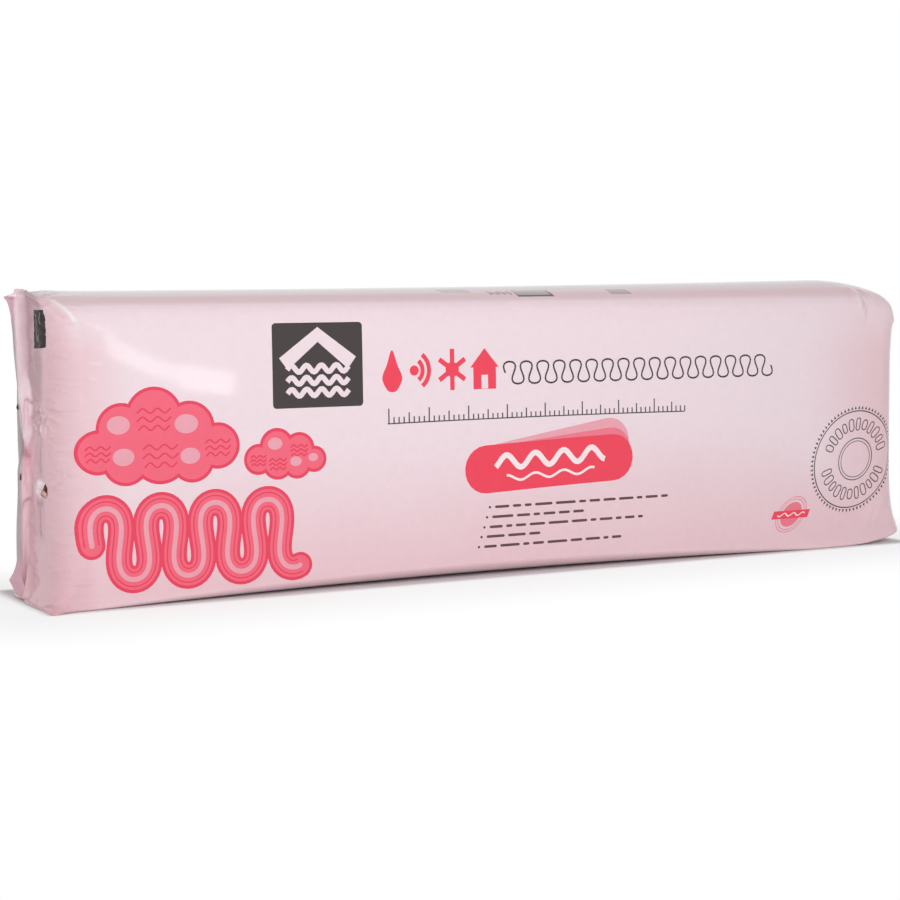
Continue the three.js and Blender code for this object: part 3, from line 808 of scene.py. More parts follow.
LABEL = [(-1.261, 0.842), (-1.215, 0.849), (-1.200, 0.760), (-1.264, 0.752)]
LABEL_SCUFFS = [[(-1.256, 0.835), (-1.250, 0.815), (-1.253, 0.792), (-1.247, 0.770)],
                [(-1.232, 0.838), (-1.238, 0.818), (-1.234, 0.806)], [(-1.240, 0.785), (-1.244, 0.768)]]


def end_print():
    """Dark label on the left end beside the crease, with light scuffs, as (t, s)."""
    return [("label", np.array(LABEL))] + [("dark_grey", stroke(path, 0.0026)) for path in LABEL_SCUFFS]


def film_print():
    """All shapes with their ink, as loops of (t, s). The back carries the front's print too."""
    shapes = top_print() + end_print()
    for ink, loop in front_print():
        t, s = on_front(*loop.T)
        shapes += [(ink, pairs(t, s)), (ink, pairs(-t, 2 * S_TOP - s))]
    return shapes + [(HOLE, np.array(TEAR))]


# Cutting the film along the print

FINE_END = -0.985                    # t at which the left end's fine grid stops
CUT_MARGIN = 0.0006                  # how close to a grid line an outline cuts the cells on both sides


def spaced(places):
    """Grid lines through (place, spacing to the next place) pairs."""
    lines = []
    for (low, gap), (high, _) in zip(places, places[1:]):
        count = max(1, round((high - low) / gap))
        lines += [low + (high - low) * i / count for i in range(count)]
    return np.array(lines + [places[-1][0]])


def finer(lines, parts):
    """The same grid lines with each gap cut into so many equal parts."""
    cut = [np.linspace(a, b, parts, endpoint=False) for a, b in zip(lines, lines[1:])]
    return np.concatenate(cut + [lines[-1:]])


def film_grid():
    """Grid lines (t, s) of the left end, and the coarser ones of the rest."""
    left, right = stops(-1), stops(1)
    end_t = spaced([(-left[3], 0.004), (-left[2], 0.0036), (-left[1], 0.0036), (-left[0], 0.0052),
                    (FINE_END, 0)])
    rest_t = spaced([(FINE_END, 0.011), (-0.8, 0.020), (0.8, 0.010), (right[0], 0.0065), (right[1], 0.009),
                     (right[2], 0.008), (right[3], 0)])
    foot = spaced([(0, 0.02), (S_FOOT, 0.012), (S_FACE_LOW, 0)])
    front = spaced([(S_FACE_LOW, 0.0126), (S_FACE_HIGH, 0)])
    back = spaced([(S_FACE_HIGH, 0.008), (S_CROWN, 0.014), (2 * S_TOP - S_CROWN, 0.012),
                   (2 * S_TOP - S_FACE_HIGH, 0.014), (2 * S_TOP - S_FOOT, 0.02), (2 * S_TOP, 0)])
    rest_s = np.concatenate([foot[:-1], front[:-1], back])
    end_s = np.concatenate([finer(foot, 2)[:-1], finer(front, 3)[:-1], finer(back, 2)])
    return (end_t, end_s), (rest_t, rest_s)


def touched_cells(ts, ss, shapes):
    """Which grid cells an outline passes through or close by."""
    touched = np.zeros((len(ts) - 1, len(ss) - 1), bool)
    for _, loop in shapes:
        ahead = np.roll(loop, -1, axis=0)
        counts = np.maximum(2, np.ceil(np.linalg.norm(ahead - loop, axis=1) / CUT_MARGIN).astype(int) + 1)
        spots = np.concatenate([a + (b - a) * np.linspace(0, 1, n)[:, None]
                                for a, b, n in zip(loop, ahead, counts)])
        for dt in (-CUT_MARGIN, CUT_MARGIN):
            for ds in (-CUT_MARGIN, CUT_MARGIN):
                i = np.clip(np.searchsorted(ts, spots[:, 0] + dt) - 1, 0, len(ts) - 2)
                j = np.clip(np.searchsorted(ss, spots[:, 1] + ds) - 1, 0, len(ss) - 2)
                touched[i, j] = True
    return touched


def inside(loop, spots):
    """Whether each spot lies inside the loop, by its winding number."""
    turns = np.zeros(len(spots), int)
    for a, b in zip(loop, np.roll(loop, -1, axis=0)):
        up = (a[1] <= spots[:, 1]) & (b[1] > spots[:, 1])
        down = (b[1] <= spots[:, 1]) & (a[1] > spots[:, 1])
        left = (b[0] - a[0]) * (spots[:, 1] - a[1]) - (spots[:, 0] - a[0]) * (b[1] - a[1])
        turns += (up & (left > 0)).astype(int) - (down & (left < 0)).astype(int)
    return turns != 0


def inks_at(spots, shapes, inks):
    """Number of the ink that shows at each spot."""
    found = np.zeros(len(spots), int)
    order = np.argsort(spots[:, 0])
    ranked = spots[order]
    for ink, loop in shapes:
        low, high = loop.min(axis=0), loop.max(axis=0)
        first, last = np.searchsorted(ranked[:, 0], (low[0], high[0]))
        near = order[first:last]
        near = near[(spots[near, 1] >= low[1]) & (spots[near, 1] <= high[1])]
        if len(near):
            found[near[inside(loop, spots[near])]] = inks.index(ink)
    return found


class Patch:
    """Grid cells of one part of the film, and the numbers of their corners."""

    def __init__(self, ts, ss, first, shapes):
        self.ts, self.ss = ts, ss
        i, j = np.meshgrid(np.arange(len(ts)), np.arange(len(ss)), indexing="ij")
        self.numbers = first + i * (len(ss) - 1) + j % (len(ss) - 1)
        self.touched = touched_cells(ts, ss, shapes)

    def places(self):
        """Places (t, s) of the corners."""
        t, s = np.meshgrid(self.ts, self.ss[:-1], indexing="ij")
        return pairs(t.ravel(), s.ravel())

    def cells(self, touched):
        """Corner numbers and middles of the cells that are, or aren't, touched."""
        i, j = np.nonzero(self.touched == touched)
        corners = [self.numbers[i + di, j + dj] for di, dj in ((0, 0), (1, 0), (1, 1), (0, 1))]
        middles = pairs((self.ts[i] + self.ts[i + 1]) / 2, (self.ss[j] + self.ss[j + 1]) / 2)
        return np.stack(corners, axis=1), middles

    def holds(self, spots):
        """Whether each spot lies in a touched cell."""
        i = np.searchsorted(self.ts, spots[:, 0]) - 1
        j = np.clip(np.searchsorted(self.ss, spots[:, 1]) - 1, 0, len(self.ss) - 2)
        within = (i >= 0) & (i < len(self.ts) - 1)
        return within & self.touched[np.clip(i, 0, len(self.ts) - 2), j]


def film_patches(shapes):
    """The left end's patch and the rest's, which meet in one column of points, and all points' places."""
    (end_t, end_s), (rest_t, rest_s) = film_grid()
    end = Patch(end_t, end_s, 0, shapes)
    rest = Patch(rest_t, rest_s, end.numbers.max() + 1 - (len(rest_s) - 1), shapes)
    rest.numbers[0] = end.numbers[-1][np.searchsorted(end_s, rest_s - 1e-9)]
    rest.touched[0] = True
    return end, rest, np.concatenate([end.places(), rest.places()[len(rest_s) - 1:]])


def cut_cells(end, rest, places, shapes):
    """The touched cells cut along the print: all places, the new ones last; triangles and their middles."""
    corners = np.concatenate([patch.cells(True)[0] for patch in (end, rest)])
    used, local = np.unique(np.concatenate([corners.ravel(), end.numbers[-1]]), return_inverse=True)
    local = local[:corners.size].reshape(corners.shape)
    edges = np.concatenate([local[:, [k, (k + 1) % 4]] for k in range(4)])
    edges = np.unique(np.sort(edges, axis=1), axis=0).tolist()
    spots = places[used].tolist()
    for _, loop in shapes:
        first = len(spots)
        spots += loop.tolist()
        edges += [(first + k, first + (k + 1) % len(loop)) for k in range(len(loop))]
    made, _, cut, origins, _, _ = delaunay_2d_cdt([Vector(p) for p in spots], edges, [], 0, 1e-7, True)
    made = np.array(made)
    cut = np.array([face for face in cut if len(face) == 3])
    middle = made[cut].mean(axis=1)
    cut = cut[end.holds(middle) | rest.holds(middle)]
    names = np.full(len(made), -1)
    for k, origin in enumerate(origins):
        grid = [o for o in origin if o < len(used)]
        if grid:
            names[k] = used[grid[0]]
    fresh = np.unique(cut[names[cut] < 0])
    names[fresh] = len(places) + np.arange(len(fresh))
    return np.concatenate([places, made[fresh]]), names[cut], made[cut].mean(axis=1)


def cut_film(shapes, inks):
    """The film as flat places (t, s), faces over them, and each face's ink."""
    end, rest, places = film_patches(shapes)
    whole, middles = zip(*(patch.cells(False) for patch in (end, rest)))
    places, cut, cut_middles = cut_cells(end, rest, places, shapes)
    faces = np.concatenate(whole).tolist() + cut.tolist()
    face_inks = inks_at(np.concatenate([*middles, cut_middles]), shapes, inks + [HOLE])
    kept = face_inks < len(inks)
    faces = [face for face, keep in zip(faces, kept) if keep]
    used, local = np.unique(np.concatenate(faces), return_inverse=True)
    ends = np.cumsum([len(face) for face in faces])
    return places[used], [face.tolist() for face in np.split(local, ends[:-1])], face_inks[kept]


# Tint of the bare film

# Patches near the ends, where the film is darker, partly painted shade: most, x where they start and are
# full, share lost higher up, and over which heights
LEFT_PRESSED_SHADE = (0.80, (0.98, 1.12), 0.8, (0.54, 0.64))
LEFT_EDGE_PRESSED_SHADE = (1.10, (1.10, 1.165), 0.7, (0.64, 0.67))
LEFT_FOOT_PRESSED_SHADE = (0.35, (1.02, 1.12), 1.0, (0.06, 0.20))
RIGHT_PRESSED_SHADE = (1.00, (0.80, 1.16), 0.5, (0.50, 0.62))
# painted shade along the front's left edge where it turns to the end
LEFT_EDGE_SHADE = (0.48, (1.07, 1.165), 0.75, (0.55, 0.63))
PRESSED_LOW = 0.37                   # height below which the film darkens: it lies on the wool there, and the darkening towards the bottom is partly painted shade
UNEVEN = [(0.030, 0.34, 0.22, 71), (0.015, 0.12, 0.09, 72)]   # how that height varies
TOP_SHADE_SPAN = (S_CROWN - 0.004, S_CROWN + 0.020)
ROUNDING_SHADE_SPAN = (S_FACE_HIGH + 0.024, S_FACE_HIGH + 0.050)

# Folds with a tint of their own, as paths in (t, s): the shade and pinch ones are painted shade in creases,
# the white one a painted highlight, the blush ones pinker film
TINTED_FOLDS = [
    # painted shade: dark lines down the left end face
    ("shade", 0.0062, [(-1.232, 0.584), (-1.233, 0.540), (-1.236, 0.482)]),
    ("shade", 0.0062, [(-1.239, 0.436), (-1.244, 0.395), (-1.247, 0.345)]),
    ("shade", 0.0060, [(-1.264, 0.434), (-1.245, 0.427), (-1.224, 0.434)]),
    # the strip's three pinches: painted shade in their folds, pinker film beside them and one painted
    # highlight
    ("pinch", 0.0040, [(-1.304, 0.636), (-1.284, 0.643), (-1.258, 0.634)]),
    ("blush", 0.0060, [(-1.288, 0.642), (-1.302, 0.618), (-1.310, 0.566)]),
    ("blush", 0.0050, [(-1.282, 0.642), (-1.282, 0.608), (-1.286, 0.572)]),
    ("pinch", 0.0054, [(-1.314, 0.556), (-1.308, 0.536), (-1.302, 0.514)]),
    ("pinch", 0.0064, [(-1.316, 0.538), (-1.305, 0.526), (-1.294, 0.514)]),
    # painted highlight: a white streak at the middle pinch
    ("milky", 0.0034, [(-1.326, 0.560), (-1.320, 0.540), (-1.326, 0.518)]),
    ("pinch", 0.0040, [(-1.332, 0.506), (-1.308, 0.526), (-1.280, 0.516)]),
    ("pinch", 0.0030, [(-1.310, 0.427), (-1.298, 0.431), (-1.286, 0.426)]),
    ("pinch", 0.0034, [(-1.296, 0.432), (-1.316, 0.422), (-1.342, 0.404)]),
    ("blush", 0.0060, [(-1.306, 0.500), (-1.308, 0.466), (-1.302, 0.436)]),
    # the foot: a line of painted shade, and pinker film
    ("shade", 0.0045, [(-1.316, 0.212), (-1.290, 0.204), (-1.264, 0.199)]),
    ("blush", 0.0045, [(-1.240, 0.206), (-1.206, 0.218), (-1.182, 0.222)]),
    ("blush", 0.0045, [(-1.182, 0.226), (-1.181, 0.190), (-1.180, 0.150)]),
]


def near_end(out, z, patch):
    """How strongly a patch near an end tints the film, this far out along the pack and this high."""
    most, reach, loss, heights = patch
    return most * smooth(out, *reach) * (1 - loss * smooth(z, *heights))


def pressed_and_shade_share(t, s, x, z):
    """Share of the darker, pinker film, from 0 to 1 and a little over: partly the film lying on the wool,
    partly painted shade towards the bottom, near the ends and along the top edges.
    """
    depth = PRESSED_LOW + rough(t, s, UNEVEN) - z
    # darker towards the bottom, partly painted shade; a little lighter just above the floor, painted light
    # from the floor
    low = smooth(depth, 0, 0.36) * lerp(0.75, 1, smooth(z, 0.004, 0.034))
    left = np.maximum(near_end(-x, z, LEFT_PRESSED_SHADE), near_end(-x, z, LEFT_EDGE_PRESSED_SHADE))
    left = left + near_end(-x, z, LEFT_FOOT_PRESSED_SHADE)
    right = near_end(x, z, RIGHT_PRESSED_SHADE)
    # painted shade along the long top edges' rounding, and a little on the face just below them
    rounding = smooth(from_foot(s), *ROUNDING_SHADE_SPAN)
    return np.maximum.reduce([low, left, right, 0.2 * smooth(z, 0.60, 0.64), rounding])


def strip_tint(s, z, over, shades):
    """Colour of the strip folded over the seal's root: another tint below its pinch, and painted shade along
    its inner edge high up.
    """
    color = lerp(shades["strip_low"], shades["strip"], smooth(z, 0.30, 0.40)[..., None])
    inner_shade = smooth(-over, -0.010, strip_edges(s)[1]) * smooth(z, 0.48, 0.54)
    return lerp(color, shades["mauve"], (0.55 * inner_shade)[..., None])


def film_tint(t, s, look):
    """Base colour of the bare film: pale where it stands off the wool, pinker where it lies on it, with
    painted shade on the ends, the top and the lower front, and painted highlights on creases, puckers and the
    strip.
    """
    _, _, on_end, on_seal = film_place(t)
    x, _, z = np.moveaxis(bare_film(t, s), -1, 0)
    cover, over = strip_cover(t, s)
    fin = smooth(on_seal, 0.15, 0.45) * lerp(0.8, 1, smooth(z, 0.05, 0.12))
    margin = fin * hump(z, (0.07, 0.13), (0.615, 0.655))
    drawn = 0.85 * bell(s - 0.512, 0.026) * smooth(on_end, 0.40, 0.62) * (1 - margin) * on_left_front(t, s)
    flap, flap_creases = crumpled(t, s, FLAP)
    pucker, pucker_creases = crumpled(t, s, PUCKER)
    # the crumpled flap's own whitening, with painted highlights on its creases and rim, and painted
    # highlights on the puckers' crests
    whitening_and_highlight = flap * (0.34 + 0.40 * smooth(flap_creases, 0.1, 0.6)) + 2 * flap * (1 - flap)
    whitening_and_highlight = whitening_and_highlight + 0.75 * pucker * smooth(pucker_creases, 0.35, 0.85)
    # painted highlight: a glint across the strip
    glint = cover * bell(s - 0.650, 0.015, 4) * bell(over - 0.010, 0.020)
    # painted highlight along the crease from the top left corner
    ridge, _, ridge_width = FOLDS[0]
    worn = fold(t, s, ridge, 0.9, 0.7 * ridge_width)
    shades = {name: np.array(getattr(look, name)) for name in ("film", *TINTS)}
    # painted shade over the end faces, darker high up
    end_shade = lerp(shades["gathered"], shades["mauve"], smooth(z, 0.38, 0.50)[..., None])
    layers = [
        (shades["pressed"], pressed_and_shade_share(t, s, x, z)),
        # painted shade: the top darker and greyer than the faces
        (shades["top"], smooth(from_foot(s), *TOP_SHADE_SPAN) * (1 - on_end)),
        # painted shade along the front's left edge
        (shades["gathered"], near_end(-x, z, LEFT_EDGE_SHADE) * (t < 0)),
        (end_shade, 0.85 * smooth(on_end, 0.05, 0.24) * smooth(z, 0.06, 0.16)),
        # the ends a little lighter low down, easing the painted shade there
        (shades["milky"], 0.13 * on_end * (1 - smooth(z, 0.12, 0.22))),
        (shades["ear"], fin),
        (shades["clear"], margin),
        (strip_tint(s, z, over, shades), 0.97 * cover * smooth(z, 0.07, 0.14)),
        (shades["blush"], drawn),
        *((shades[tint], fold(t, s, path, 0.8, width)) for tint, width, path in TINTED_FOLDS),
        # painted shade in the puckers' hollows
        (shades["shade"], 0.55 * pucker * smooth(-pucker_creases, 0, 0.5)),
        # the crumpled film's own white, with the painted highlights of the glint, the crease and the puckers
        (shades["milky"], np.clip(whitening_and_highlight + glint + worn, 0, 1)),
    ]
    color = shades["film"]
    for tint, part in layers:
        color = lerp(color, tint, part[..., None])
    return color


# Materials

FILM_NAME = "printed_film"
LABEL_NAME = "printed_label"
# the bare film's colour at each point, which carries its painted shade and highlights
TINT = "tint"
FILM_BUMP = WOOL_BUMP = 0.003        # metres
LABEL_GLOSS = 0.07                   # specular level
WHITE = (1, 1, 1, 1)


def fill_inputs(tree, node, inputs):
    """Puts values and links on a node's inputs."""
    for key, value in inputs.items():
        if isinstance(value, bpy.types.NodeSocket):
            tree.links.new(value, node.inputs[key])
        else:
            node.inputs[key].default_value = value


def add_node(tree, kind, inputs, output=0, **settings):
    """Adds a shader node with its settings, and values or links on its inputs, and gives one output."""
    node = tree.nodes.new("ShaderNode" + kind)
    for key, value in settings.items():
        setattr(node, key, value)
    fill_inputs(tree, node, inputs)
    return node.outputs[output]


def speckle(tree, place, scale, detail, roughness=0.5, distortion=0.0):
    """Noise over the surface, from 0 to 1."""
    return add_node(tree, "TexNoise", {"Vector": place, "Scale": scale, "Detail": detail,
                                       "Roughness": roughness, "Distortion": distortion})


def carried(tree, value, span, target, **settings):
    """The value carried over from one span to another."""
    return add_node(tree, "MapRange", {"Value": value, "From Min": span[0], "From Max": span[1],
                                       "To Min": target[0], "To Max": target[1]}, **settings)


def principled(name, color, roughness):
    """A new material with its node tree and its shader."""
    mat = bpy.data.materials.new(name)
    mat.use_nodes = True
    tree = mat.node_tree
    shader = tree.nodes["Principled BSDF"]
    fill_inputs(tree, shader, {"Base Color": (*color, 1), "Roughness": roughness})
    return mat, tree, shader


def film_material(name, color, roughness, crinkle):
    """Thin printed film: clear gloss over uneven ink, which the bare film takes from the mesh's tint."""
    mat, tree, shader = principled(name, color, roughness)
    place = add_node(tree, "TexCoord", {}, "Object")
    patches = speckle(tree, place, scale=7, detail=3)
    specks = speckle(tree, place, scale=45, detail=6, roughness=0.6)
    broad = speckle(tree, place, scale=16, detail=4, distortion=0.6)
    sheen = carried(tree, patches, (0, 1), (roughness - 0.015, roughness + 0.025))
    cover = carried(tree, specks, (0.25, 0.75), (0.975, 1.02))
    ink = add_node(tree, "Attribute", {}, "Color", attribute_name=TINT) if name == FILM_NAME else tuple(color)
    laid = add_node(tree, "VectorMath", {0: ink, "Scale": cover}, operation="SCALE")
    bump = add_node(tree, "Bump", {"Height": broad, "Strength": crinkle, "Distance": FILM_BUMP})
    fill_inputs(tree, shader, {"Roughness": sheen, "Base Color": laid, "Normal": bump})
    if name == LABEL_NAME:
        shader.inputs["Specular IOR Level"].default_value = LABEL_GLOSS
    return mat


def wool_material(name, color, dark):
    """Matt glass wool: felted fibres with lighter and darker tufts."""
    mat, tree, shader = principled(name, color, 0.95)
    place = add_node(tree, "TexCoord", {}, "Object")
    stretched = add_node(tree, "Mapping", {"Vector": place, "Scale": (9, 9, 60)})
    fibres = speckle(tree, stretched, scale=30, detail=9, roughness=0.75)
    tufts = speckle(tree, place, scale=60, detail=8, roughness=0.7)
    clumps = speckle(tree, place, scale=75, detail=2)
    shade = carried(tree, tufts, (0, 1), (0.72, 1.18))
    burnt = carried(tree, clumps, (0.50, 0.66), (0, 1))
    mixed = add_node(tree, "Mix", {0: burnt, 6: (*color, 1), 7: (*dark, 1)}, 2, data_type="RGBA")
    dyed = add_node(tree, "VectorMath", {0: mixed, "Scale": shade}, operation="SCALE")
    bump = add_node(tree, "Bump", {"Height": fibres, "Strength": 0.7, "Distance": WOOL_BUMP})
    fill_inputs(tree, shader, {"Base Color": dyed, "Normal": bump, "Sheen Weight": 0.25})
    return mat


def linear(*srgb):
    """Scene-linear colour for sRGB values of 0 to 255."""
    return tuple(((c / 255 + 0.055) / 1.055) ** 2.4 if c > 10 else c / 255 / 12.92 for c in srgb)


# Name, description and colour of each ink and of each tint of the bare film
INKS = {
    "film": ("Film", "Film that stands off the wool", (0.890, 0.745, 0.795)),
    "crimson": ("Crimson ink", "Strongest print colour", linear(244, 58, 84)),
    "hot_pink": ("Hot pink ink", "Large filled forms", linear(247, 100, 124)),
    "outline_red": ("Outline ink", "Lines round the large forms", linear(236, 58, 92)),
    "mid_pink": ("Middle pink ink", "Second print tint", linear(242, 120, 138)),
    "pale_pink": ("Pale pink ink", "Lightest print tint", linear(238, 166, 180)),
    "dark": ("Dark ink", "Signs and lines", linear(58, 48, 48)),
    "label": ("Label ink", "Dull dark label on the left end", linear(44, 32, 35)),
    "dark_grey": ("Grey ink", "Scuffs on the dark ink", linear(128, 112, 114)),
    "dark_plum": ("Plum ink", "Fine lines and rows", linear(92, 60, 68)),
    "top_grey": ("Faint ink", "Worn marks on the top", linear(176, 160, 164)),
    "white": ("White ink", "Waves on the crimson forms", linear(250, 236, 238)),
}
TINTS = {
    # partly painted shade: this tint also darkens the film towards the bottom, near the ends and along the
    # top edges
    "pressed": ("Film on the wool", "Film pressed on the wool", (0.850, 0.590, 0.638)),
    # painted shade: the top darker and greyer than the faces
    "top": ("Film on top", "Dull film on the top", (0.725, 0.560, 0.605)),
    # painted shade low on the ends and along the front's left edge
    "gathered": ("Gathered film", "Doubled film low on the ends", (0.690, 0.405, 0.460)),
    # painted shade high on the ends and along the strip's inner edge
    "mauve": ("Folded-in film", "Darker film high on the ends", (0.490, 0.290, 0.340)),
    "strip": ("Folded strip", "Strip folded over the seal's root", (0.960, 0.725, 0.790)),
    "strip_low": ("Strip below", "The strip below its pinch", (0.900, 0.585, 0.645)),
    "ear": ("Seal's ears", "Printed film at the seals' corners", (0.610, 0.380, 0.445)),
    "clear": ("Clear margin", "Unprinted film beyond the seals", (0.470, 0.405, 0.415)),
    "blush": ("Drawn film", "Film drawn tight over the wool at a pinch", (0.820, 0.400, 0.470)),
    # painted shade in the pinches' folds
    "pinch": ("Pinched folds", "Deep folds of the strip's pinches", (0.520, 0.200, 0.265)),
    # painted shade in deep folds and in the puckers' hollows
    "shade": ("Deep folds", "Film in deep folds", (0.400, 0.220, 0.270)),
    # the crumpled film's own white, and painted highlights on creases, puckers and the strip
    "milky": ("Milky film", "Film that is crumpled white", (0.960, 0.900, 0.915)),
}


def color_property(name, text, color):
    """A colour that the panel shows."""
    return FloatVectorProperty(name=name, description=text, default=color, subtype="COLOR", size=3, min=0,
                               max=1)


class PackFilm(PropertyGroup):
    """Colours and finish of the bag."""
    roughness: FloatProperty(name="Roughness", description="Dullness of the film", default=0.05,
                             subtype="FACTOR", min=0, max=1)
    crinkle: FloatProperty(name="Crinkle", description="Strength of the film's fine crinkle", default=0.03,
                           subtype="FACTOR", min=0, max=1)
    __annotations__.update({key: color_property(*entry) for key, entry in {**INKS, **TINTS}.items()})


class PackWool(PropertyGroup):
    """Colours of the glass wool."""
    color: color_property("Wool", "Glass wool", (0.76, 0.33, 0.39))
    worn: color_property("Worn wool", "Wool that shows at the tear and the seal", linear(232, 188, 170))
    # also the colour of the dark tufts that are partly painted shade in the tear and at the seal's slits
    burnt: color_property("Browned wool", "Its dark clumps", linear(104, 44, 50))


class PackStage(PropertyGroup):
    """Floor and lights."""
    floor: color_property("Floor", "Floor paint", (0.86, 0.86, 0.86))
    key: FloatProperty(name="Key light", description="Large softbox above the front", default=82.5,
                       unit="POWER", min=0)
    side: FloatProperty(name="Side light", description="Soft light on the left end", default=18, unit="POWER",
                        min=0)
    slim: FloatProperty(name="Slim lights", description="Each of the two slim lamps that the film mirrors",
                        default=0.27, unit="POWER", min=0)
    air: FloatProperty(name="Room light", description="Even light from all round", default=0.36, min=0, max=2)


def add_object(name, data):
    """A new object in the scene."""
    made = bpy.data.objects.new(name, data)
    bpy.context.collection.objects.link(made)
    return made


class PackBuildFilm(Operator):
    """Builds the printed film bag with its two end seals."""
    bl_idname = "pack.build_film"
    bl_label = "Film bag"

    def execute(self, context):
        look = context.scene.pack_film
        inks = list(INKS)
        places, faces, face_inks = cut_film(film_print(), inks)
        t, s = places.T
        mesh = bpy.data.meshes.new("film_skin")
        mesh.from_pydata(film_points(t, s).tolist(), [], faces)
        mesh.polygons.foreach_set("material_index", face_inks.astype(np.int32))
        tint = mesh.attributes.new(TINT, "FLOAT_COLOR", "POINT")
        tint.data.foreach_set("color", np.append(film_tint(t, s, look), np.ones((len(t), 1)), axis=1).ravel())
        for ink in inks:
            color = getattr(look, ink)
            mesh.materials.append(film_material("printed_" + ink, color, look.roughness, look.crinkle))
        mesh.update()
        mesh.shade_smooth()
        mesh.normals_split_custom_set_from_vertices(blended_normals(mesh, t, s))
        film = add_object("film_skin", mesh)
        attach(film, "root")
        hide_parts(FILM_NODE)
        return {"FINISHED"}


# Wool that shows through the film: place (t, s), half sizes along t and s and how far it stands out, its sink
# and its finish
TUFTS = {
    "tear_tuft": ((-1.2182, 0.4525), (0.0080, 0.0086, 0.0062), 0.0006, "worn_wool"),
    # dark wool in the tear, partly painted shade
    "tear_tuft_dark": ((-1.2130, 0.4645), (0.0044, 0.0088, 0.0044), 0.0022, "burnt_wool"),
    # dark wool at the seal's two slits, partly painted shade
    "upper_rim_tuft": ((-1.3710, 0.6220), (0.0028, 0.0064, 0.0028), 0.0, "burnt_wool"),
    "lower_rim_tuft": ((-1.3570, 0.4740), (0.0026, 0.0074, 0.0030), 0.0, "burnt_wool"),
}
TUFT_RINGS, TUFT_SPOKES = 26, 36
TUFT_STEP = 0.002                    # how far apart the film is felt for a tuft's direction
TUFT_SEED = 81


def tuft_mesh(name, spot, sizes, sink, seed):
    """A lump of felted wool pushed out through the film, its fibres drawn out into ridges and tips."""
    t, s = (np.array([length]) for length in spot)
    along = unit(film_points(t + TUFT_STEP, s) - film_points(t - TUFT_STEP, s))[0]
    up = unit(film_points(t, s + TUFT_STEP) - film_points(t, s - TUFT_STEP))[0]
    out = unit(np.cross(along, up))
    turn, lift = np.meshgrid(np.arange(TUFT_SPOKES) * 2 * math.pi / TUFT_SPOKES,
                             np.linspace(-math.pi / 2, math.pi / 2, TUFT_RINGS), indexing="ij")
    around = 3 * np.sin(turn / 2)
    lumps = 0.16 * noise(around, lift * 1.6, seed)
    fibres = 0.30 * (ridges(around * 2.6 + lift, lift * 4.5, seed + 1) ** 3 - 0.3)
    rise = np.sin(lift)
    shape = 1 + lumps + fibres
    waist = shape * (1 - 0.35 * rise)
    reach = [waist * np.cos(turn) * np.cos(lift), shape * rise, waist * np.sin(turn) * np.cos(lift)]
    points = film_points(t, s)[0] - sink * out
    for part, size, direction in zip(reach, sizes, (along, up, out)):
        points = points + (part * size)[..., None] * direction
    number = np.arange(TUFT_SPOKES * TUFT_RINGS).reshape(TUFT_SPOKES, TUFT_RINGS)
    ahead = np.roll(number, -1, axis=0)
    faces = np.stack([number[:, :-1], ahead[:, :-1], ahead[:, 1:], number[:, 1:]], axis=-1).reshape(-1, 4)
    mesh = bpy.data.meshes.new(name)
    mesh.from_pydata(points.reshape(-1, 3).tolist(), [], faces.tolist())
    work = bmesh.new()
    work.from_mesh(mesh)
    bmesh.ops.remove_doubles(work, verts=work.verts, dist=1e-6)
    bmesh.ops.recalc_face_normals(work, faces=work.faces)
    work.to_mesh(mesh)
    work.free()
    mesh.shade_smooth()
    return mesh


class PackBuildWool(Operator):
    """Gives the batts their wool, and builds the tufts that show through the film."""
    bl_idname = "pack.build_wool"
    bl_label = "Wool"

    def execute(self, context):
        look = context.scene.pack_wool
        wool = wool_material("glass_wool", look.color, look.color)
        for name in BATT_NODES:
            for slot in bpy.data.objects[name].material_slots:
                slot.material = wool
        finishes = {"worn_wool": wool_material("worn_wool", look.worn, look.burnt),
                    "burnt_wool": wool_material("burnt_wool", look.burnt, look.burnt)}
        for number, (name, (spot, sizes, sink, finish)) in enumerate(TUFTS.items()):
            tuft = add_object(name, tuft_mesh(name, spot, sizes, sink, TUFT_SEED + 3 * number))
            tuft.data.materials.append(finishes[finish])
            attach(tuft, "root")
        return {"FINISHED"}


# Stage

FLOOR_REACH = 40
# White over the floor's paint away from the pack: how far off it is full, and its share
WHITE_LAYERS = ((0.042, 0.74), (0.50, 0.26))
# Each lamp follows a setting, or a part of it, and may be mirrored in the film; its turn is in degrees
Lamp = namedtuple("Lamp", "name setting part mirrored place target size turn")
LAMPS = [
    Lamp("key_softbox", "key", 1, False, (-0.5, -3.9, 1.8), (-0.2, 0, 0.4), (3.0, 2.0), 0),
    Lamp("side_softbox", "side", 1, False, (-3.6, -0.6, 1.0), (-1.2, 0, 0.38), (1.0, 1.2), 0),
    Lamp("slim_lamp_left", "slim", 0.85, True, (-0.0225, -3, 0.4905), (-0.0225, 0, 0.4905), (0.305, 0.085),
         -25.5),
    Lamp("slim_lamp_right", "slim", 1, True, (0.225, -3, 0.414), (0.225, 0, 0.414), (0.221, 0.110), -5.7),
]
CAMERA_PLACE = (-2.4415, -4.3485, 0.6809)
CAMERA_TURNS = (28.23, -4.47, -0.5)  # yaw, pitch and roll in degrees
CAMERA_SENSOR, CAMERA_LENS = 36, 79.52   # millimetres


def seen_directly(tree):
    """1 on rays from the camera, on mirrored ones and on passing ones, else 0."""
    path = tree.nodes.new("ShaderNodeLightPath").outputs
    either = add_node(tree, "Math", {0: path["Is Camera Ray"], 1: path["Is Transmission Ray"]},
                      operation="MAXIMUM")
    return add_node(tree, "Math", {0: either, 1: path["Is Glossy Ray"]}, operation="MAXIMUM")


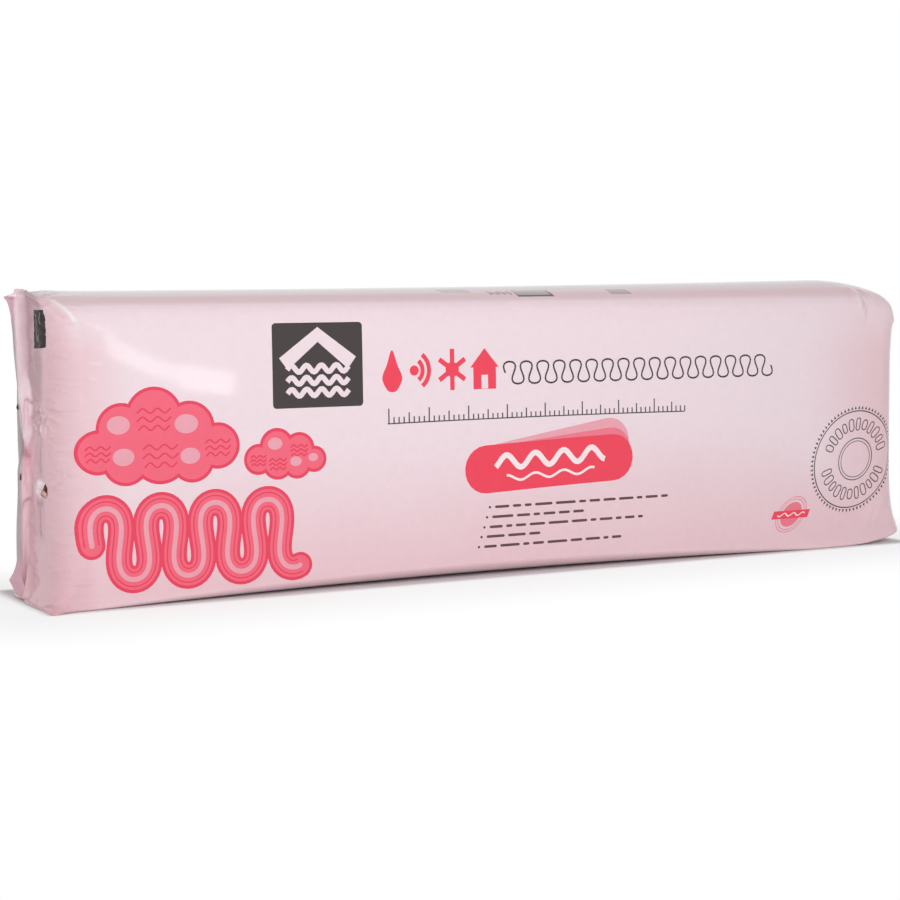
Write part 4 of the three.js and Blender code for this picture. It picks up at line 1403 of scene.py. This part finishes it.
def build_floor(color):
    """Painted floor whose white fades in away from the pack, so that the pack's shadow stays."""
    size = FLOOR_REACH
    mesh = bpy.data.meshes.new("floor")
    corners = [(-size, -size, 0), (size, -size, 0), (size, size, 0), (-size, size, 0)]
    mesh.from_pydata(corners, [], [(0, 1, 2, 3)])
    floor = add_object("floor", mesh)
    mat, tree, paint = principled("floor_paint", color, 0.8)
    mesh.materials.append(mat)
    place = add_node(tree, "NewGeometry", {}, "Position")
    folded = add_node(tree, "VectorMath", {0: place}, operation="ABSOLUTE")
    past = add_node(tree, "VectorMath", {0: folded, 1: (HALF_LENGTH, HALF_DEPTH, 0)}, operation="SUBTRACT")
    beyond = add_node(tree, "VectorMath", {0: past, 1: (0, 0, 0)}, operation="MAXIMUM")
    reach = add_node(tree, "VectorMath", {0: beyond}, "Value", operation="LENGTH")
    near, far = (carried(tree, reach, (0, full), (0, most), interpolation_type="SMOOTHSTEP")
                 for full, most in WHITE_LAYERS)
    both = add_node(tree, "Math", {0: near, 1: far}, operation="ADD")
    shown = add_node(tree, "Math", {0: both, 1: seen_directly(tree)}, operation="MULTIPLY")
    white = add_node(tree, "Emission", {"Color": WHITE, "Strength": 1.0})
    blend = add_node(tree, "MixShader", {0: shown, 1: paint.outputs[0], 2: white})
    fill_inputs(tree, tree.nodes["Material Output"], {"Surface": blend})


def build_air(strength):
    """Even light from all round, which shows as white."""
    world = bpy.data.worlds.new("studio_air")
    bpy.context.scene.world = world
    world.use_nodes = True
    tree = world.node_tree
    level = carried(tree, seen_directly(tree), (0, 1), (strength, 1))
    fill_inputs(tree, tree.nodes["Background"], {"Color": WHITE, "Strength": level})


def build_lamp(lamp, watts):
    """A rectangular lamp that the camera doesn't see."""
    light = bpy.data.lights.new(lamp.name, "AREA")
    light.shape = "RECTANGLE"
    light.size, light.size_y = lamp.size
    light.energy = lamp.part * watts
    softbox = add_object(lamp.name, light)
    aim = (Vector(lamp.target) - Vector(lamp.place)).to_track_quat("-Z", "Y").to_matrix()
    turned = aim @ Matrix.Rotation(math.radians(lamp.turn), 3, "Z")
    softbox.matrix_world = Matrix.Translation(lamp.place) @ turned.to_4x4()
    softbox.visible_camera = False
    softbox.visible_glossy = lamp.mirrored


def build_camera():
    """The camera, in front of the pack and to its left."""
    yaw, pitch, roll = (math.radians(turn) for turn in CAMERA_TURNS)
    forward = Vector((math.sin(yaw) * math.cos(pitch), math.cos(yaw) * math.cos(pitch), math.sin(pitch)))
    level = Vector((math.cos(yaw), -math.sin(yaw), 0))
    above = level.cross(forward)
    right = math.cos(roll) * level + math.sin(roll) * above
    up = -math.sin(roll) * level + math.cos(roll) * above
    lens = bpy.data.cameras.new("camera")
    lens.sensor_width = CAMERA_SENSOR
    lens.lens = CAMERA_LENS
    camera = add_object("camera", lens)
    turned = Matrix((right, up, -forward)).transposed()
    camera.matrix_world = Matrix.Translation(CAMERA_PLACE) @ turned.to_4x4()
    bpy.context.scene.camera = camera


class PackBuildStage(Operator):
    """Builds the floor, the room light, the softboxes and the camera."""
    bl_idname = "pack.build_stage"
    bl_label = "Studio"

    def execute(self, context):
        look = context.scene.pack_stage
        build_floor(look.floor)
        build_air(look.air)
        for lamp in LAMPS:
            build_lamp(lamp, getattr(look, lamp.setting))
        build_camera()
        return {"FINISHED"}


class PackPanel(Panel):
    """Lists the pack's settings and pieces."""
    bl_idname = "PACK_PT_pieces"
    bl_label = "Bagged insulation pack"
    bl_space_type = "VIEW_3D"
    bl_region_type = "UI"
    bl_category = "Pack"

    def draw(self, context):
        for name in SETTINGS:
            settings = getattr(context.scene, name)
            column = self.layout.column()
            for key in settings.__annotations__:
                column.prop(settings, key)
        for operator in OPERATORS:
            self.layout.operator(operator.bl_idname)


OPERATORS = (PackBuildFilm, PackBuildWool, PackBuildStage)
SETTINGS = {"pack_film": PackFilm, "pack_wool": PackWool, "pack_stage": PackStage}


def register():
    """Registers the settings, the operators and the panel."""
    for kind in (*SETTINGS.values(), *OPERATORS, PackPanel):
        bpy.utils.register_class(kind)
    for name, kind in SETTINGS.items():
        setattr(bpy.types.Scene, name, PointerProperty(type=kind))


def unregister():
    """Takes them away again."""
    for name in SETTINGS:
        delattr(bpy.types.Scene, name)
    for kind in (PackPanel, *reversed(OPERATORS), *reversed(SETTINGS.values())):
        bpy.utils.unregister_class(kind)


def main():
    """Registers the add-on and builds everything."""
    register()
    bpy.context.scene.view_settings.view_transform = "Standard"
    bpy.ops.pack.build_film()
    bpy.ops.pack.build_wool()
    bpy.ops.pack.build_stage()


if __name__ == "__main__":
    main()
